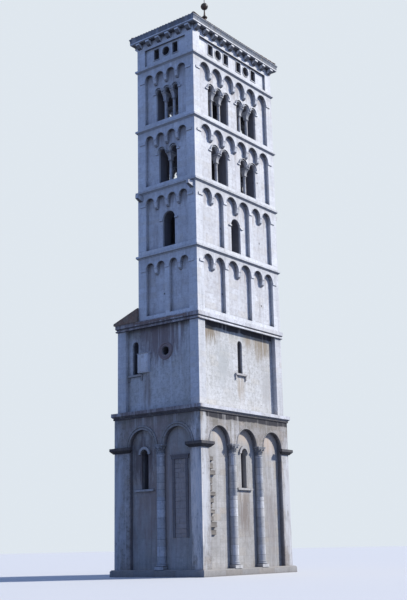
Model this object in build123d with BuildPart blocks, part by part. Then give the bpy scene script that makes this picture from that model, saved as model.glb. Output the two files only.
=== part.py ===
from build123d import *
from math import atan, cos, degrees, pi
import os

os.makedirs("parts", exist_ok=True)

# A marble bell tower, in millimetres. The origin is on the ground, in the middle of
# the base. Front is -Y, left is -X, and a "long" side is the front or the back.

# Plan of the shaft and of the wider base that it stands on
shaft_width = 8800
shaft_depth = 4730
base_depth = 6500
base_front = -base_depth / 2
shaft_centre_y = base_front + shaft_depth / 2

# Walls of the shaft: a backing wall and, in front of it, lesenes and hanging arches
relief = 220
shaft_wall = 800
attic_relief = 140
shaft_inset = relief + shaft_wall
attic_wall = shaft_inset - attic_relief

# Walls of the base
pilaster_relief = 300
base_wall = 1020
rear_wall = 500
arcade_projection = 140
arcade_recess = 150
base_inset = pilaster_relief + base_wall
rear_inset = pilaster_relief + rear_wall

# Heights, each the underside of what it names
plinth_height = 400
plinth_projection = 340
plinth_chamfer = 80
ledge_z = 9420
ledge_height = 330
ledge_projection = 300
ledge_chamfer = 130
base_string_z = 15050
base_string_height = 300
string_z = (19390, 23680, 27950, 32260)
string_height = 180
string_projection = 120
string_chamfer = 70
cornice_z = 34300
bed_height = 150
bed_projection = 350
bed_chamfer = 60
fascia_height = 330
fascia_chamfer = 40
cornice_projection = 400
roof_top_z = 37000

# Blind arcade of the ground storey
arch_span = 2000
bay_pitch = 2750
arcade_springing = 7600
large_arch_sides = 32
long_arches = (-bay_pitch, 0, bay_pitch)
short_arch_front = 1600
short_arches = (short_arch_front, short_arch_front - bay_pitch)

# Hanging arches on corbels
long_corner = 680
short_corner = 650
lesene_width = 340
side_bay = 2150
long_corbel = 240
short_corbel = 200
corbel_drop = 450
springing_drop = 740
plain_band = 270
small_arch_sides = 16
corbel_curve = ((0.35, 0), (0.8, 110), (1, 240))
lesene_impost_height = 150
lesene_impost_projection = 50
corner_impost_width = 430

# Windows of the shaft
window_offset = 1560
light_sides = 16
three_light_springing = 30500
two_light_springing = 26270
single_springing = 21730
single_width = 1000
colonnette_radius = 105
colonnette_sides = 10
colonnette_setback = 300
colonnette_base = 280
colonnette_base_height = 130
crutch_height = 560
crutch_foot = 230
hood_width = 125
hood_projection = 90
jamb_impost_width = 260
jamb_impost_height = 90
jamb_impost_projection = 70

# Openings of the attic
attic_openings_z = 33250
attic_circle = 330
attic_rect_width = 500
attic_rect_height = 720
attic_pitch = 850
attic_short_circle = 300
attic_short_rect_width = 430
attic_short_pitch = 790
attic_panel_top = 33770
attic_foot = 150

# Slits and oculus of the base
slit_width = 480
slit_sill = 12100
slit_springing = 13960
front_slit = 150
side_slit = -2000
oculus_u = 430
oculus_z = 13330
oculus_radius = 270
oculus_ring_radius = 560
oculus_ring_projection = 70
oculus_ring_step = 40
ground_slit_width = 540
ground_slit_sill = 5050
ground_slit_springing = 7130
ground_hood_inner = 310
ground_hood_outer = 470
ground_hood_projection = 110
ground_sill_width = 1500
upper_sill_width = 1140
sill_height = 120
sill_projection = 130
sill_bracket_width = 110
sill_bracket_height = 260
sill_bracket_projection = 80

sides = ("front", "back", "left", "right")
long_sides = ("front", "back")
short_sides = ("left", "right")


def face_plane(side, width, depth, centre_y, inset=0):
    """An outer face: x runs to the right seen from outside, y runs up from the ground."""
    if side == "front":
        return Plane(origin=(0, centre_y - depth / 2 + inset, 0), x_dir=(1, 0, 0), z_dir=(0, -1, 0))
    if side == "back":
        return Plane(origin=(0, centre_y + depth / 2 - inset, 0), x_dir=(-1, 0, 0), z_dir=(0, 1, 0))
    if side == "left":
        return Plane(origin=(-width / 2 + inset, centre_y, 0), x_dir=(0, -1, 0), z_dir=(-1, 0, 0))
    return Plane(origin=(width / 2 - inset, centre_y, 0), x_dir=(0, 1, 0), z_dir=(1, 0, 0))


def shaft_face(side, inset=0):
    return face_plane(side, shaft_width, shaft_depth, shaft_centre_y, inset)


def base_face(side, inset=0):
    return face_plane(side, shaft_width, base_depth, 0, inset)


def mirrored(side, u):
    """A place along a left face, repeated at the same distance from the front on the right."""
    return -u if side == "right" else u


def round_headed(u, width, sill, springing, side_count, mode=Mode.ADD):
    """Draws an opening with a round head in the open sketch, or cuts it out of it."""
    with Locations((u, (sill + springing) / 2)):
        Rectangle(width, springing - sill, mode=mode)
    with Locations((u, springing)):
        RegularPolygon(width / 2, side_count, mode=mode)


def ground_slit(u):
    round_headed(u, ground_slit_width, ground_slit_sill, ground_slit_springing, light_sides, Mode.SUBTRACT)


def upper_slit(u):
    round_headed(u, slit_width, slit_sill, slit_springing, light_sides, Mode.SUBTRACT)


def light_centres(u, count, pitch):
    return [u + (i - (count - 1) / 2) * pitch for i in range(count)]


def window(u, count, pitch, width, sill, springing):
    """Draws one opening of several round-headed lights, with no shafts between them."""
    with Locations((u, (sill + springing) / 2)):
        Rectangle((count - 1) * pitch + width, springing - sill)
    for light in light_centres(u, count, pitch):
        with Locations((light, springing)):
            RegularPolygon(width / 2, light_sides)


def hanging_bay(u, width, arches, corbel, bottom, springing):
    """Draws one sunk bay, whose top is a row of round arches hanging on corbels."""
    corbel_foot = springing - corbel_drop
    arch_width = (width - (arches - 1) * corbel) / arches
    with Locations((u, (bottom + corbel_foot) / 2)):
        Rectangle(width, corbel_foot - bottom)
    for arch in light_centres(u, arches, arch_width + corbel):
        round_headed(arch, arch_width, corbel_foot, springing, small_arch_sides)


def bay_limits(bays):
    """Gives the left ends and the right ends of a row of bays."""
    return [u - width / 2 for u, width, arches in bays], [u + width / 2 for u, width, arches in bays]


def impost_blocks(bays):
    """Gives the middle and the width of the impost on each lesene beside a row of bays."""
    starts, ends = bay_limits(bays)
    blocks = [
        (starts[0] - corner_impost_width / 2, corner_impost_width),
        (ends[-1] + corner_impost_width / 2, corner_impost_width),
    ]
    blocks += [((end + start) / 2, start - end) for end, start in zip(ends, starts[1:])]
    return blocks


def corbel_centres(bays, corbel):
    """Gives the middle of each corbel that hangs between two arches of a bay."""
    centres = []
    for u, width, arches in bays:
        arch_width = (width - (arches - 1) * corbel) / arches
        centres += light_centres(u, arches - 1, arch_width + corbel)
    return centres


def half_hood(u, springing, inner, outer, side_count):
    """Draws a half ring, the hood moulding of a round head."""
    with Locations((u, springing)):
        RegularPolygon(outer, side_count)
        RegularPolygon(inner, side_count, mode=Mode.SUBTRACT)
    with Locations((u, springing - outer / 2)):
        Rectangle(2 * outer, outer, mode=Mode.SUBTRACT)


def tapered_block(seat, foot, head, height):
    """A block with four flat slopes. foot and head are x_min, y_min, x_max, y_max on the seat."""
    reach = max(abs(value) for value in foot + head)
    with BuildPart() as block:
        with BuildSketch(Plane(origin=seat.origin, x_dir=seat.x_dir, z_dir=-seat.y_dir)):
            with BuildLine():
                Polyline((foot[0], 0), (foot[2], 0), (head[2], height), (head[0], height), close=True)
            make_face()
        extrude(amount=reach, both=True)
        with BuildSketch(Plane(origin=seat.origin, x_dir=seat.y_dir, z_dir=seat.x_dir)):
            with BuildLine():
                Polyline((foot[1], 0), (foot[3], 0), (head[3], height), (head[1], height), close=True)
            make_face()
        extrude(amount=reach, both=True, mode=Mode.INTERSECT)
    return block.part


def centred(width, depth, x=0, y=0):
    """Limits of a rectangle round a point."""
    return x - width / 2, y - depth / 2, x + width / 2, y + depth / 2


def ring_course(width, depth, centre_y, inner, z, height, cut):
    """A moulded course round the whole tower. inner gives the hole's x and y limits."""
    x_min, y_min, x_max, y_max = inner
    with BuildPart() as course:
        with BuildSketch(Plane.XY.offset(z)):
            with Locations((0, centre_y)):
                Rectangle(width, depth)
        extrude(amount=height)
        chamfer(course.edges().group_by(Axis.Z)[0], cut)
        with BuildSketch(Plane.XY.offset(z)):
            with Locations(((x_min + x_max) / 2, (y_min + y_max) / 2)):
                Rectangle(x_max - x_min, y_max - y_min)
        extrude(amount=height, mode=Mode.SUBTRACT)
    return course.part


# Inner limits of the hollow base and of the hollow shaft, as x_min, y_min, x_max, y_max
base_room = (
    -shaft_width / 2 + base_inset,
    base_front + base_inset,
    shaft_width / 2 - base_inset,
    base_depth / 2 - rear_inset,
)
shaft_room = (
    -shaft_width / 2 + shaft_inset,
    base_front + shaft_inset,
    shaft_width / 2 - shaft_inset,
    base_front + shaft_depth - shaft_inset,
)

# Plinth, which is also the floor of the hollow base
with BuildPart() as plinth:
    with BuildSketch():
        Rectangle(shaft_width + 2 * plinth_projection, base_depth + 2 * plinth_projection)
    extrude(amount=plinth_height)
    chamfer(plinth.edges().group_by(Axis.Z)[-1], plinth_chamfer)
plinth.part.label = "plinth"
export_step(plinth.part, "parts/plinth.step")

# Ground storey, backing walls
with BuildPart() as ground_long_walls:
    for side in long_sides:
        thickness = base_inset if side == "front" else rear_inset
        with BuildSketch(base_face(side, arcade_recess)):
            with Locations((0, (plinth_height + ledge_z) / 2)):
                Rectangle(shaft_width - 2 * arcade_recess, ledge_z - plinth_height)
            ground_slit(0)
        extrude(amount=-(thickness - arcade_recess))
ground_long_walls.part.label = "ground_long_walls"
export_step(ground_long_walls.part, "parts/ground_long_walls.step")

with BuildPart() as ground_short_walls:
    room_centre = (base_room[1] + base_room[3]) / 2
    room_depth = base_room[3] - base_room[1]
    for side in short_sides:
        run = -room_centre if side == "left" else room_centre
        with BuildSketch(base_face(side, arcade_recess)):
            with Locations((run, (plinth_height + ledge_z) / 2)):
                Rectangle(room_depth, ledge_z - plinth_height)
            ground_slit(mirrored(side, short_arches[1]))
        extrude(amount=-(base_inset - arcade_recess))
ground_short_walls.part.label = "ground_short_walls"
export_step(ground_short_walls.part, "parts/ground_short_walls.step")

# Blind arcade of the ground storey, with its square corner piers
with BuildPart() as blind_arcade:
    arcade_depth = arcade_projection + arcade_recess
    with BuildSketch(Plane.XY.offset(plinth_height)):
        Rectangle(shaft_width + 2 * arcade_projection, base_depth + 2 * arcade_projection)
        Rectangle(
            shaft_width - 2 * arcade_recess, base_depth - 2 * arcade_recess, mode=Mode.SUBTRACT
        )
    extrude(amount=ledge_z - plinth_height)
    for side in sides:
        with BuildSketch(base_face(side, -arcade_projection)):
            if side in long_sides:
                arches = long_arches
            else:
                arches = [mirrored(side, u) for u in short_arches]
            bay_width = max(arches) - min(arches) + arch_span
            bay_centre = (max(arches) + min(arches)) / 2
            with Locations((bay_centre, (plinth_height + arcade_springing) / 2)):
                Rectangle(bay_width, arcade_springing - plinth_height)
            for u in arches:
                with Locations((u, arcade_springing)):
                    RegularPolygon(arch_span / 2, large_arch_sides)
        extrude(amount=-arcade_depth, mode=Mode.SUBTRACT)
blind_arcade.part.label = "blind_arcade"
export_step(blind_arcade.part, "parts/blind_arcade.step")

# Archivolts on the two short sides
archivolt_width = 250
archivolt_projection = 70
with BuildPart() as side_archivolts:
    for side in short_sides:
        with BuildSketch(base_face(side, -arcade_projection)):
            for u in short_arches:
                half_hood(
                    mirrored(side, u),
                    arcade_springing,
                    arch_span / 2,
                    arch_span / 2 + archivolt_width,
                    large_arch_sides,
                )
        extrude(amount=archivolt_projection)
side_archivolts.part.label = "side_archivolts"
export_step(side_archivolts.part, "parts/side_archivolts.step")

# Half columns under the arcade, each with a base, a capital and an abacus
column_radius = 270
column_sides = 16
column_base = 680
column_base_height = 350
column_base_front = 315
capital_height = 420
capital_sides = 8
abacus_height = 130
abacus_width = bay_pitch - arch_span
capital_flare = 50
abacus_front = column_radius + capital_flare
column_places = [(side, u) for side in long_sides for u in (-bay_pitch / 2, bay_pitch / 2)]
column_places += [(side, mirrored(side, sum(short_arches) / 2)) for side in short_sides]
neck_z = arcade_springing - abacus_height - capital_height
abacus_z = arcade_springing - abacus_height
with BuildPart() as half_columns:
    for side, u in column_places:
        axis = base_face(side).from_local_coords((u, 0, 0))
        seat = Plane(origin=axis, x_dir=base_face(side).x_dir)
        with BuildSketch(seat.offset(plinth_height)):
            Rectangle(column_base, 2 * column_base_front)
        extrude(amount=column_base_height)
        with BuildSketch(seat.offset(plinth_height + column_base_height)):
            RegularPolygon(column_radius, column_sides)
        extrude(amount=neck_z - plinth_height - column_base_height)
        with BuildSketch(seat.offset(neck_z)):
            RegularPolygon(column_radius, capital_sides, rotation=180 / capital_sides)
        extrude(amount=capital_height, taper=-degrees(atan(capital_flare / capital_height)))
        with BuildSketch(seat.offset(abacus_z)):
            Rectangle(abacus_width, 2 * abacus_front)
        extrude(amount=abacus_height)
    with BuildSketch(Plane.XY.offset(plinth_height)):
        Rectangle(shaft_width - 2 * arcade_recess, base_depth - 2 * arcade_recess)
    extrude(amount=ledge_z - plinth_height, mode=Mode.SUBTRACT)
half_columns.part.label = "half_columns"
export_step(half_columns.part, "parts/half_columns.step")

# Imposts on the square corner piers, from which the outer arches spring
impost_height = 330
impost_projection = 230
impost_underside = 170
pier_width = shaft_width / 2 - bay_pitch - arch_span / 2
with BuildPart() as pier_imposts:
    for x_side, y_side in ((-1, -1), (1, -1), (1, 1), (-1, 1)):
        pier_y = pier_width if y_side < 0 else base_depth / 2 + short_arches[1] - arch_span / 2
        pier_x_limits = shaft_width / 2 - pier_width, shaft_width / 2 + arcade_projection
        pier_y_limits = base_depth / 2 - pier_y, base_depth / 2 + arcade_projection
        centre = (x_side * sum(pier_x_limits) / 2, y_side * sum(pier_y_limits) / 2)
        spread = 2 * impost_projection
        with BuildSketch(Plane.XY.offset(arcade_springing - impost_height)):
            with Locations(centre):
                Rectangle(
                    pier_x_limits[1] - pier_x_limits[0] + spread,
                    pier_y_limits[1] - pier_y_limits[0] + spread,
                )
        extrude(amount=impost_height)
    chamfer(pier_imposts.edges().group_by(Axis.Z)[0], impost_underside)
    with BuildSketch(Plane.XY.offset(arcade_springing - impost_height)):
        Rectangle(shaft_width + 2 * arcade_projection, base_depth + 2 * arcade_projection)
    extrude(amount=impost_height, mode=Mode.SUBTRACT)
pier_imposts.part.label = "pier_imposts"
export_step(pier_imposts.part, "parts/pier_imposts.step")

# Ledge over the ground storey
ledge = ring_course(
    shaft_width + 2 * ledge_projection,
    base_depth + 2 * ledge_projection,
    0,
    base_room,
    ledge_z,
    ledge_height,
    ledge_chamfer,
)
ledge.label = "ledge"
export_step(ledge, "parts/ledge.step")

# Upper storey of the base: backing walls with slits and the oculus
upper_z = ledge_z + ledge_height
with BuildPart() as upper_long_walls:
    for side in long_sides:
        thickness = base_wall if side == "front" else rear_wall
        with BuildSketch(base_face(side, pilaster_relief)):
            with Locations((0, (upper_z + base_string_z) / 2)):
                Rectangle(shaft_width - 2 * pilaster_relief, base_string_z - upper_z)
            upper_slit(front_slit)
        extrude(amount=-thickness)
upper_long_walls.part.label = "upper_long_walls"
export_step(upper_long_walls.part, "parts/upper_long_walls.step")

with BuildPart() as upper_short_walls:
    for side in short_sides:
        run = -room_centre if side == "left" else room_centre
        with BuildSketch(base_face(side, pilaster_relief)):
            with Locations((run, (upper_z + base_string_z) / 2)):
                Rectangle(room_depth, base_string_z - upper_z)
            upper_slit(mirrored(side, side_slit))
            with Locations((mirrored(side, oculus_u), oculus_z)):
                RegularPolygon(oculus_radius, small_arch_sides, mode=Mode.SUBTRACT)
        extrude(amount=-base_wall)
upper_short_walls.part.label = "upper_short_walls"
export_step(upper_short_walls.part, "parts/upper_short_walls.step")

# Corner pilasters of the upper storey
pilaster_width = 660
with BuildPart() as corner_pilasters:
    with BuildSketch(Plane.XY.offset(upper_z)):
        Rectangle(shaft_width, base_depth)
        Rectangle(
            shaft_width - 2 * pilaster_relief, base_depth - 2 * pilaster_relief, mode=Mode.SUBTRACT
        )
        Rectangle(shaft_width - 2 * pilaster_width, base_depth, mode=Mode.SUBTRACT)
        Rectangle(shaft_width, base_depth - 2 * pilaster_width, mode=Mode.SUBTRACT)
    extrude(amount=base_string_z - upper_z)
corner_pilasters.part.label = "corner_pilasters"
export_step(corner_pilasters.part, "parts/corner_pilasters.step")

# Moulded ring of the oculus
with BuildPart() as oculus_rings:
    for side in short_sides:
        with BuildSketch(base_face(side, pilaster_relief)):
            with Locations((mirrored(side, oculus_u), oculus_z)):
                RegularPolygon(oculus_ring_radius, small_arch_sides)
                RegularPolygon(oculus_radius + oculus_ring_step, small_arch_sides, mode=Mode.SUBTRACT)
        extrude(amount=oculus_ring_projection)
oculus_rings.part.label = "oculus_rings"
export_step(oculus_rings.part, "parts/oculus_rings.step")

# Sills and hoods of the slits
with BuildPart() as slit_trims:
    for side in sides:
        ground_u = 0 if side in long_sides else mirrored(side, short_arches[1])
        upper_u = front_slit if side in long_sides else mirrored(side, side_slit)
        with BuildSketch(base_face(side, arcade_recess)):
            half_hood(ground_u, ground_slit_springing, ground_hood_inner, ground_hood_outer, small_arch_sides)
        extrude(amount=ground_hood_projection)
        with BuildSketch(base_face(side, arcade_recess)):
            with Locations((ground_u, ground_slit_sill - sill_height / 2)):
                Rectangle(ground_sill_width, sill_height)
        extrude(amount=sill_projection)
        with BuildSketch(base_face(side, pilaster_relief)):
            with Locations((upper_u, slit_sill - sill_height / 2)):
                Rectangle(upper_sill_width, sill_height)
        extrude(amount=sill_projection)
        with BuildSketch(base_face(side, pilaster_relief)):
            bracket_u = (upper_sill_width - sill_bracket_width) / 2
            with Locations((upper_u, slit_sill - sill_height - sill_bracket_height / 2)):
                with Locations((-bracket_u, 0), (bracket_u, 0)):
                    Rectangle(sill_bracket_width, sill_bracket_height)
        extrude(amount=sill_bracket_projection)
slit_trims.part.label = "slit_trims"
export_step(slit_trims.part, "parts/slit_trims.step")

# Metal box on the left wall, between the slit and the oculus
box_width = 850
box_height = 1200
box_depth = 250
box_u = -1225
box_z = 12150
box_chamfer = 15
with BuildPart() as wall_box:
    with BuildSketch(base_face("left", pilaster_relief)):
        with Locations((box_u, box_z + box_height / 2)):
            Rectangle(box_width, box_height)
    extrude(amount=box_depth)
    chamfer(wall_box.faces().sort_by(Axis.X)[0].edges(), box_chamfer)
wall_box.part.label = "wall_box"
export_step(wall_box.part, "parts/wall_box.step")

# Wall under the back of the shaft, on one great arch from side wall to side wall
bearing_wall_z = base_string_z + base_string_height
bearing_span = base_room[2] - base_room[0]
bearing_springing = ground_slit_springing + ground_slit_width / 2 + 150
with BuildPart() as bearing_arch:
    with BuildSketch(shaft_face("back")):
        with Locations((0, (bearing_springing + bearing_wall_z) / 2)):
            Rectangle(bearing_span, bearing_wall_z - bearing_springing)
        with Locations((0, bearing_springing)):
            RegularPolygon(bearing_span / 2, small_arch_sides, mode=Mode.SUBTRACT)
    extrude(amount=-shaft_inset)
bearing_arch.part.label = "bearing_arch"
export_step(bearing_arch.part, "parts/bearing_arch.step")

# String course over the base
base_string = ring_course(
    shaft_width + 2 * string_projection,
    base_depth + 2 * string_projection,
    0,
    base_room,
    base_string_z,
    base_string_height,
    string_chamfer,
)
base_string.label = "base_string"
export_step(base_string, "parts/base_string.step")

# Lean-to roof over the part of the base behind the shaft
lean_to_eaves = 130
lean_to_top = 850
lean_to_overhang = 200
with BuildPart() as lean_to_roof:
    roof_start = base_front + shaft_depth
    roof_end = base_depth / 2 + lean_to_overhang
    roof_half = shaft_width / 2 + lean_to_overhang
    with BuildSketch(Plane.YZ.offset(-roof_half)):
        with BuildLine():
            Polyline(
                (roof_start, bearing_wall_z),
                (roof_end, bearing_wall_z),
                (roof_end, bearing_wall_z + lean_to_eaves),
                (roof_start, bearing_wall_z + lean_to_top),
                close=True,
            )
        make_face()
    extrude(amount=2 * roof_half)
lean_to_roof.part.label = "lean_to_roof"
export_step(lean_to_roof.part, "parts/lean_to_roof.step")

# The four tiers of the shaft, from the lowest up
middle_bay = shaft_width - 2 * (long_corner + side_bay + lesene_width)
side_bay_u = middle_bay / 2 + lesene_width + side_bay / 2
three_bays = ((-side_bay_u, side_bay, 2), (0, middle_bay, 2), (side_bay_u, side_bay, 2))
one_long_bay = ((0, shaft_width - 2 * long_corner, 6),)
one_short_bay = ((0, shaft_depth - 2 * short_corner, 4),)
half_bay = (shaft_depth - 2 * short_corner - lesene_width) / 2
half_bay_u = (half_bay + lesene_width) / 2
two_bays = ((-half_bay_u, half_bay, 2), (half_bay_u, half_bay, 2))

# Each tier: long bays, short bays, then its windows as lights, springing height,
# and for the long and the short sides the window places, light pitch and light width
tiers = (
    (three_bays, two_bays, 0, 0, ((), 0, 0), ((), 0, 0)),
    (
        three_bays,
        one_short_bay,
        1,
        single_springing,
        ((0,), 0, single_width),
        ((0,), 0, single_width),
    ),
    (
        one_long_bay,
        one_short_bay,
        2,
        two_light_springing,
        ((-window_offset, window_offset), 1060, 700),
        ((0,), 950, 550),
    ),
    (
        one_long_bay,
        one_short_bay,
        3,
        three_light_springing,
        ((-window_offset, window_offset), 830, 520),
        ((0,), 700, 440),
    ),
)
tier_floor = (base_string_z + base_string_height,) + tuple(z + string_height for z in string_z)

for number, (long_bays, short_bays, lights, springing, long_window, short_window) in enumerate(tiers, 1):
    z0 = tier_floor[number - 1]
    z1 = string_z[number - 1]
    sill = z0 + plain_band

    with BuildPart() as long_walls:
        for side in long_sides:
            with BuildSketch(shaft_face(side, relief)):
                with Locations((0, (z0 + z1) / 2)):
                    Rectangle(shaft_width - 2 * relief, z1 - z0)
            extrude(amount=-shaft_wall)
            if lights:
                places, pitch, width = long_window
                with BuildSketch(shaft_face(side, relief)):
                    for u in places:
                        window(u, lights, pitch, width, sill, springing)
                extrude(amount=-shaft_wall, mode=Mode.SUBTRACT)
    long_walls.part.label = f"tier_{number}_long_walls"
    export_step(long_walls.part, f"parts/tier_{number}_long_walls.step")

    with BuildPart() as short_walls:
        for side in short_sides:
            with BuildSketch(shaft_face(side, relief)):
                with Locations((0, (z0 + z1) / 2)):
                    Rectangle(shaft_depth - 2 * shaft_inset, z1 - z0)
            extrude(amount=-shaft_wall)
            if lights:
                places, pitch, width = short_window
                with BuildSketch(shaft_face(side, relief)):
                    for u in places:
                        window(u, lights, pitch, width, sill, springing)
                extrude(amount=-shaft_wall, mode=Mode.SUBTRACT)
    short_walls.part.label = f"tier_{number}_short_walls"
    export_step(short_walls.part, f"parts/tier_{number}_short_walls.step")

    with BuildPart() as arcade:
        with BuildSketch(Plane.XY.offset(z0)):
            with Locations((0, shaft_centre_y)):
                Rectangle(shaft_width, shaft_depth)
                Rectangle(shaft_width - 2 * relief, shaft_depth - 2 * relief, mode=Mode.SUBTRACT)
        extrude(amount=z1 - z0)
        for side in sides:
            bays = long_bays if side in long_sides else short_bays
            corbel = long_corbel if side in long_sides else short_corbel
            with BuildSketch(shaft_face(side)):
                for u, width, arches in bays:
                    hanging_bay(u, width, arches, corbel, sill, z1 - springing_drop)
            extrude(amount=-relief, mode=Mode.SUBTRACT)
            corbel_foot = z1 - springing_drop - corbel_drop
            field = shaft_face(side, relief)
            for u in corbel_centres(bays, corbel):
                corner = field.from_local_coords((u - corbel / 2, corbel_foot, 0))
                with BuildSketch(Plane(origin=corner, x_dir=field.z_dir, z_dir=field.x_dir)):
                    with BuildLine():
                        Polyline(
                            *((share * relief, -rise) for share, rise in corbel_curve),
                            (relief, 0),
                            close=True,
                        )
                    make_face()
                extrude(amount=corbel, mode=Mode.SUBTRACT)
    arcade.part.label = f"tier_{number}_arcade"
    export_step(arcade.part, f"parts/tier_{number}_arcade.step")

    course = ring_course(
        shaft_width + 2 * string_projection,
        shaft_depth + 2 * string_projection,
        shaft_centre_y,
        shaft_room,
        z1,
        string_height,
        string_chamfer,
    )
    course.label = f"string_{number}"
    export_step(course, f"parts/string_{number}.step")

    if lights > 1:
        neck = springing - crutch_height
        shafts = []
        crutches = []
        for side in sides:
            places, pitch, width = long_window if side in long_sides else short_window
            wall_face = shaft_face(side, relief)
            for u in [u for place in places for u in light_centres(place, lights - 1, pitch)]:
                axis = wall_face.from_local_coords((u, 0, -colonnette_setback))
                shafts.append(Plane(origin=axis, x_dir=wall_face.x_dir))
                crutches.append(
                    tapered_block(
                        shafts[-1].offset(neck),
                        centred(crutch_foot, crutch_foot),
                        centred(pitch - width, shaft_wall, y=shaft_wall / 2 - colonnette_setback),
                        crutch_height,
                    )
                )
        with BuildPart() as colonnettes:
            for shaft in shafts:
                with BuildSketch(shaft.offset(sill)):
                    Rectangle(colonnette_base, colonnette_base)
                extrude(amount=colonnette_base_height)
                with BuildSketch(shaft.offset(sill + colonnette_base_height)):
                    RegularPolygon(colonnette_radius, colonnette_sides)
                extrude(amount=neck - sill - colonnette_base_height)
            add(crutches)
        colonnettes.part.label = f"tier_{number}_colonnettes"
        export_step(colonnettes.part, f"parts/tier_{number}_colonnettes.step")

        with BuildPart() as hoods:
            for side in sides:
                places, pitch, width = long_window if side in long_sides else short_window
                with BuildSketch(shaft_face(side, relief)):
                    for window_u in places:
                        for u in light_centres(window_u, lights, pitch):
                            half_hood(u, springing, width / 2, width / 2 + hood_width, light_sides)
                extrude(amount=hood_projection)
        hoods.part.label = f"tier_{number}_hoods"
        export_step(hoods.part, f"parts/tier_{number}_hoods.step")

# Imposts on the lesenes, under the hanging arches
with BuildPart() as lesene_imposts:
    for z1, (long_bays, short_bays, *windows) in zip(string_z, tiers):
        springing = z1 - springing_drop
        for side in sides:
            with BuildSketch(shaft_face(side)):
                for u, width in impost_blocks(long_bays if side in long_sides else short_bays):
                    with Locations((u, springing - lesene_impost_height / 2)):
                        Rectangle(width, lesene_impost_height)
            extrude(amount=lesene_impost_projection)
lesene_imposts.part.label = "lesene_imposts"
export_step(lesene_imposts.part, "parts/lesene_imposts.step")

# Imposts beside the windows, at the springing of their arches
with BuildPart() as jamb_imposts:
    for long_bays, short_bays, lights, springing, long_window, short_window in tiers[1:]:
        for side in sides:
            places, pitch, width = long_window if side in long_sides else short_window
            half_window = ((lights - 1) * pitch + width) / 2
            block_u = half_window + jamb_impost_width / 2
            with BuildSketch(shaft_face(side, relief)):
                for u in places:
                    with Locations((u, springing - jamb_impost_height / 2)):
                        with Locations((-block_u, 0), (block_u, 0)):
                            Rectangle(jamb_impost_width, jamb_impost_height)
            extrude(amount=jamb_impost_projection)
jamb_imposts.part.label = "jamb_imposts"
export_step(jamb_imposts.part, "parts/jamb_imposts.step")

# Tapering stones that stand out of the short sides under the second string course
stone_width = 300
stone_height = 380
stone_nose = (190, 220)
stone_projection = 470
stone_corner = 120
stone_drop = 90
stone_u = shaft_depth / 2 - stone_corner - stone_width / 2
stone_top = string_z[1] - stone_drop
stones = [
    tapered_block(
        shaft_face(side),
        centred(stone_width, stone_height, u, stone_top - stone_height / 2),
        centred(*stone_nose, u, stone_top - stone_nose[1] / 2),
        stone_projection,
    )
    for side in short_sides
    for u in (-stone_u, stone_u)
]
with BuildPart() as corner_stones:
    add(stones)
corner_stones.part.label = "corner_stones"
export_step(corner_stones.part, "parts/corner_stones.step")

# Floors of the tiers that have windows
with BuildPart() as tier_floors:
    for z in string_z[:3]:
        with BuildSketch(Plane.XY.offset(z)):
            with Locations((0, shaft_centre_y)):
                Rectangle(shaft_width - 2 * shaft_inset, shaft_depth - 2 * shaft_inset)
        extrude(amount=string_height)
tier_floors.part.label = "tier_floors"
export_step(tier_floors.part, "parts/tier_floors.step")

# Attic under the cornice
attic_z = string_z[3] + string_height
attic_groups = (
    (long_sides, (-window_offset, window_offset), attic_circle, attic_rect_width, attic_pitch),
    (short_sides, (0,), attic_short_circle, attic_short_rect_width, attic_short_pitch),
)
for group_sides, places, circle, rect_width, pitch in attic_groups:
    is_long = group_sides == long_sides
    with BuildPart() as attic_walls:
        for side in group_sides:
            length = shaft_width - 2 * attic_relief if is_long else shaft_depth - 2 * shaft_inset
            with BuildSketch(shaft_face(side, attic_relief)):
                with Locations((0, (attic_z + cornice_z) / 2)):
                    Rectangle(length, cornice_z - attic_z)
                for u in places:
                    with Locations((u, attic_openings_z)):
                        RegularPolygon(circle, small_arch_sides, mode=Mode.SUBTRACT)
                    with Locations((u - pitch, attic_openings_z), (u + pitch, attic_openings_z)):
                        Rectangle(rect_width, attic_rect_height, mode=Mode.SUBTRACT)
            extrude(amount=-attic_wall)
    walls_name = "attic_long_walls" if is_long else "attic_short_walls"
    attic_walls.part.label = walls_name
    export_step(attic_walls.part, f"parts/{walls_name}.step")

attic_panel_bottom = attic_z + attic_foot
with BuildPart() as attic_frame:
    with BuildSketch(Plane.XY.offset(attic_z)):
        with Locations((0, shaft_centre_y)):
            Rectangle(shaft_width, shaft_depth)
            Rectangle(
                shaft_width - 2 * attic_relief, shaft_depth - 2 * attic_relief, mode=Mode.SUBTRACT
            )
    extrude(amount=cornice_z - attic_z)
    for side in sides:
        if side in long_sides:
            panel = shaft_width - 2 * long_corner
        else:
            panel = shaft_depth - 2 * short_corner
        with BuildSketch(shaft_face(side)):
            with Locations((0, (attic_panel_bottom + attic_panel_top) / 2)):
                Rectangle(panel, attic_panel_top - attic_panel_bottom)
        extrude(amount=-attic_relief, mode=Mode.SUBTRACT)
attic_frame.part.label = "attic_frame"
export_step(attic_frame.part, "parts/attic_frame.step")

# Corbels under the cornice
bracket_width = 300
bracket_height = 340
bracket_projection = 330
bracket_nose = 110
bracket_waist = (150, 270)
bracket_margin = 130
bracket_rows = ((long_sides, 10, shaft_width), (short_sides, 6, shaft_depth))
with BuildPart() as cornice_corbels:
    for row_sides, count, row_length in bracket_rows:
        pitch = (row_length - 2 * bracket_margin - bracket_width) / (count - 1)
        for side in row_sides:
            wall_face = shaft_face(side)
            for u in light_centres(0, count, pitch):
                corner = wall_face.from_local_coords((u - bracket_width / 2, cornice_z, 0))
                with BuildSketch(Plane(origin=corner, x_dir=wall_face.z_dir, z_dir=wall_face.x_dir)):
                    with BuildLine():
                        Polyline(
                            (0, 0),
                            (bracket_projection, 0),
                            (bracket_projection, bracket_nose),
                            bracket_waist,
                            (0, bracket_height),
                            close=True,
                        )
                    make_face()
                extrude(amount=bracket_width)
cornice_corbels.part.label = "cornice_corbels"
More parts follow.
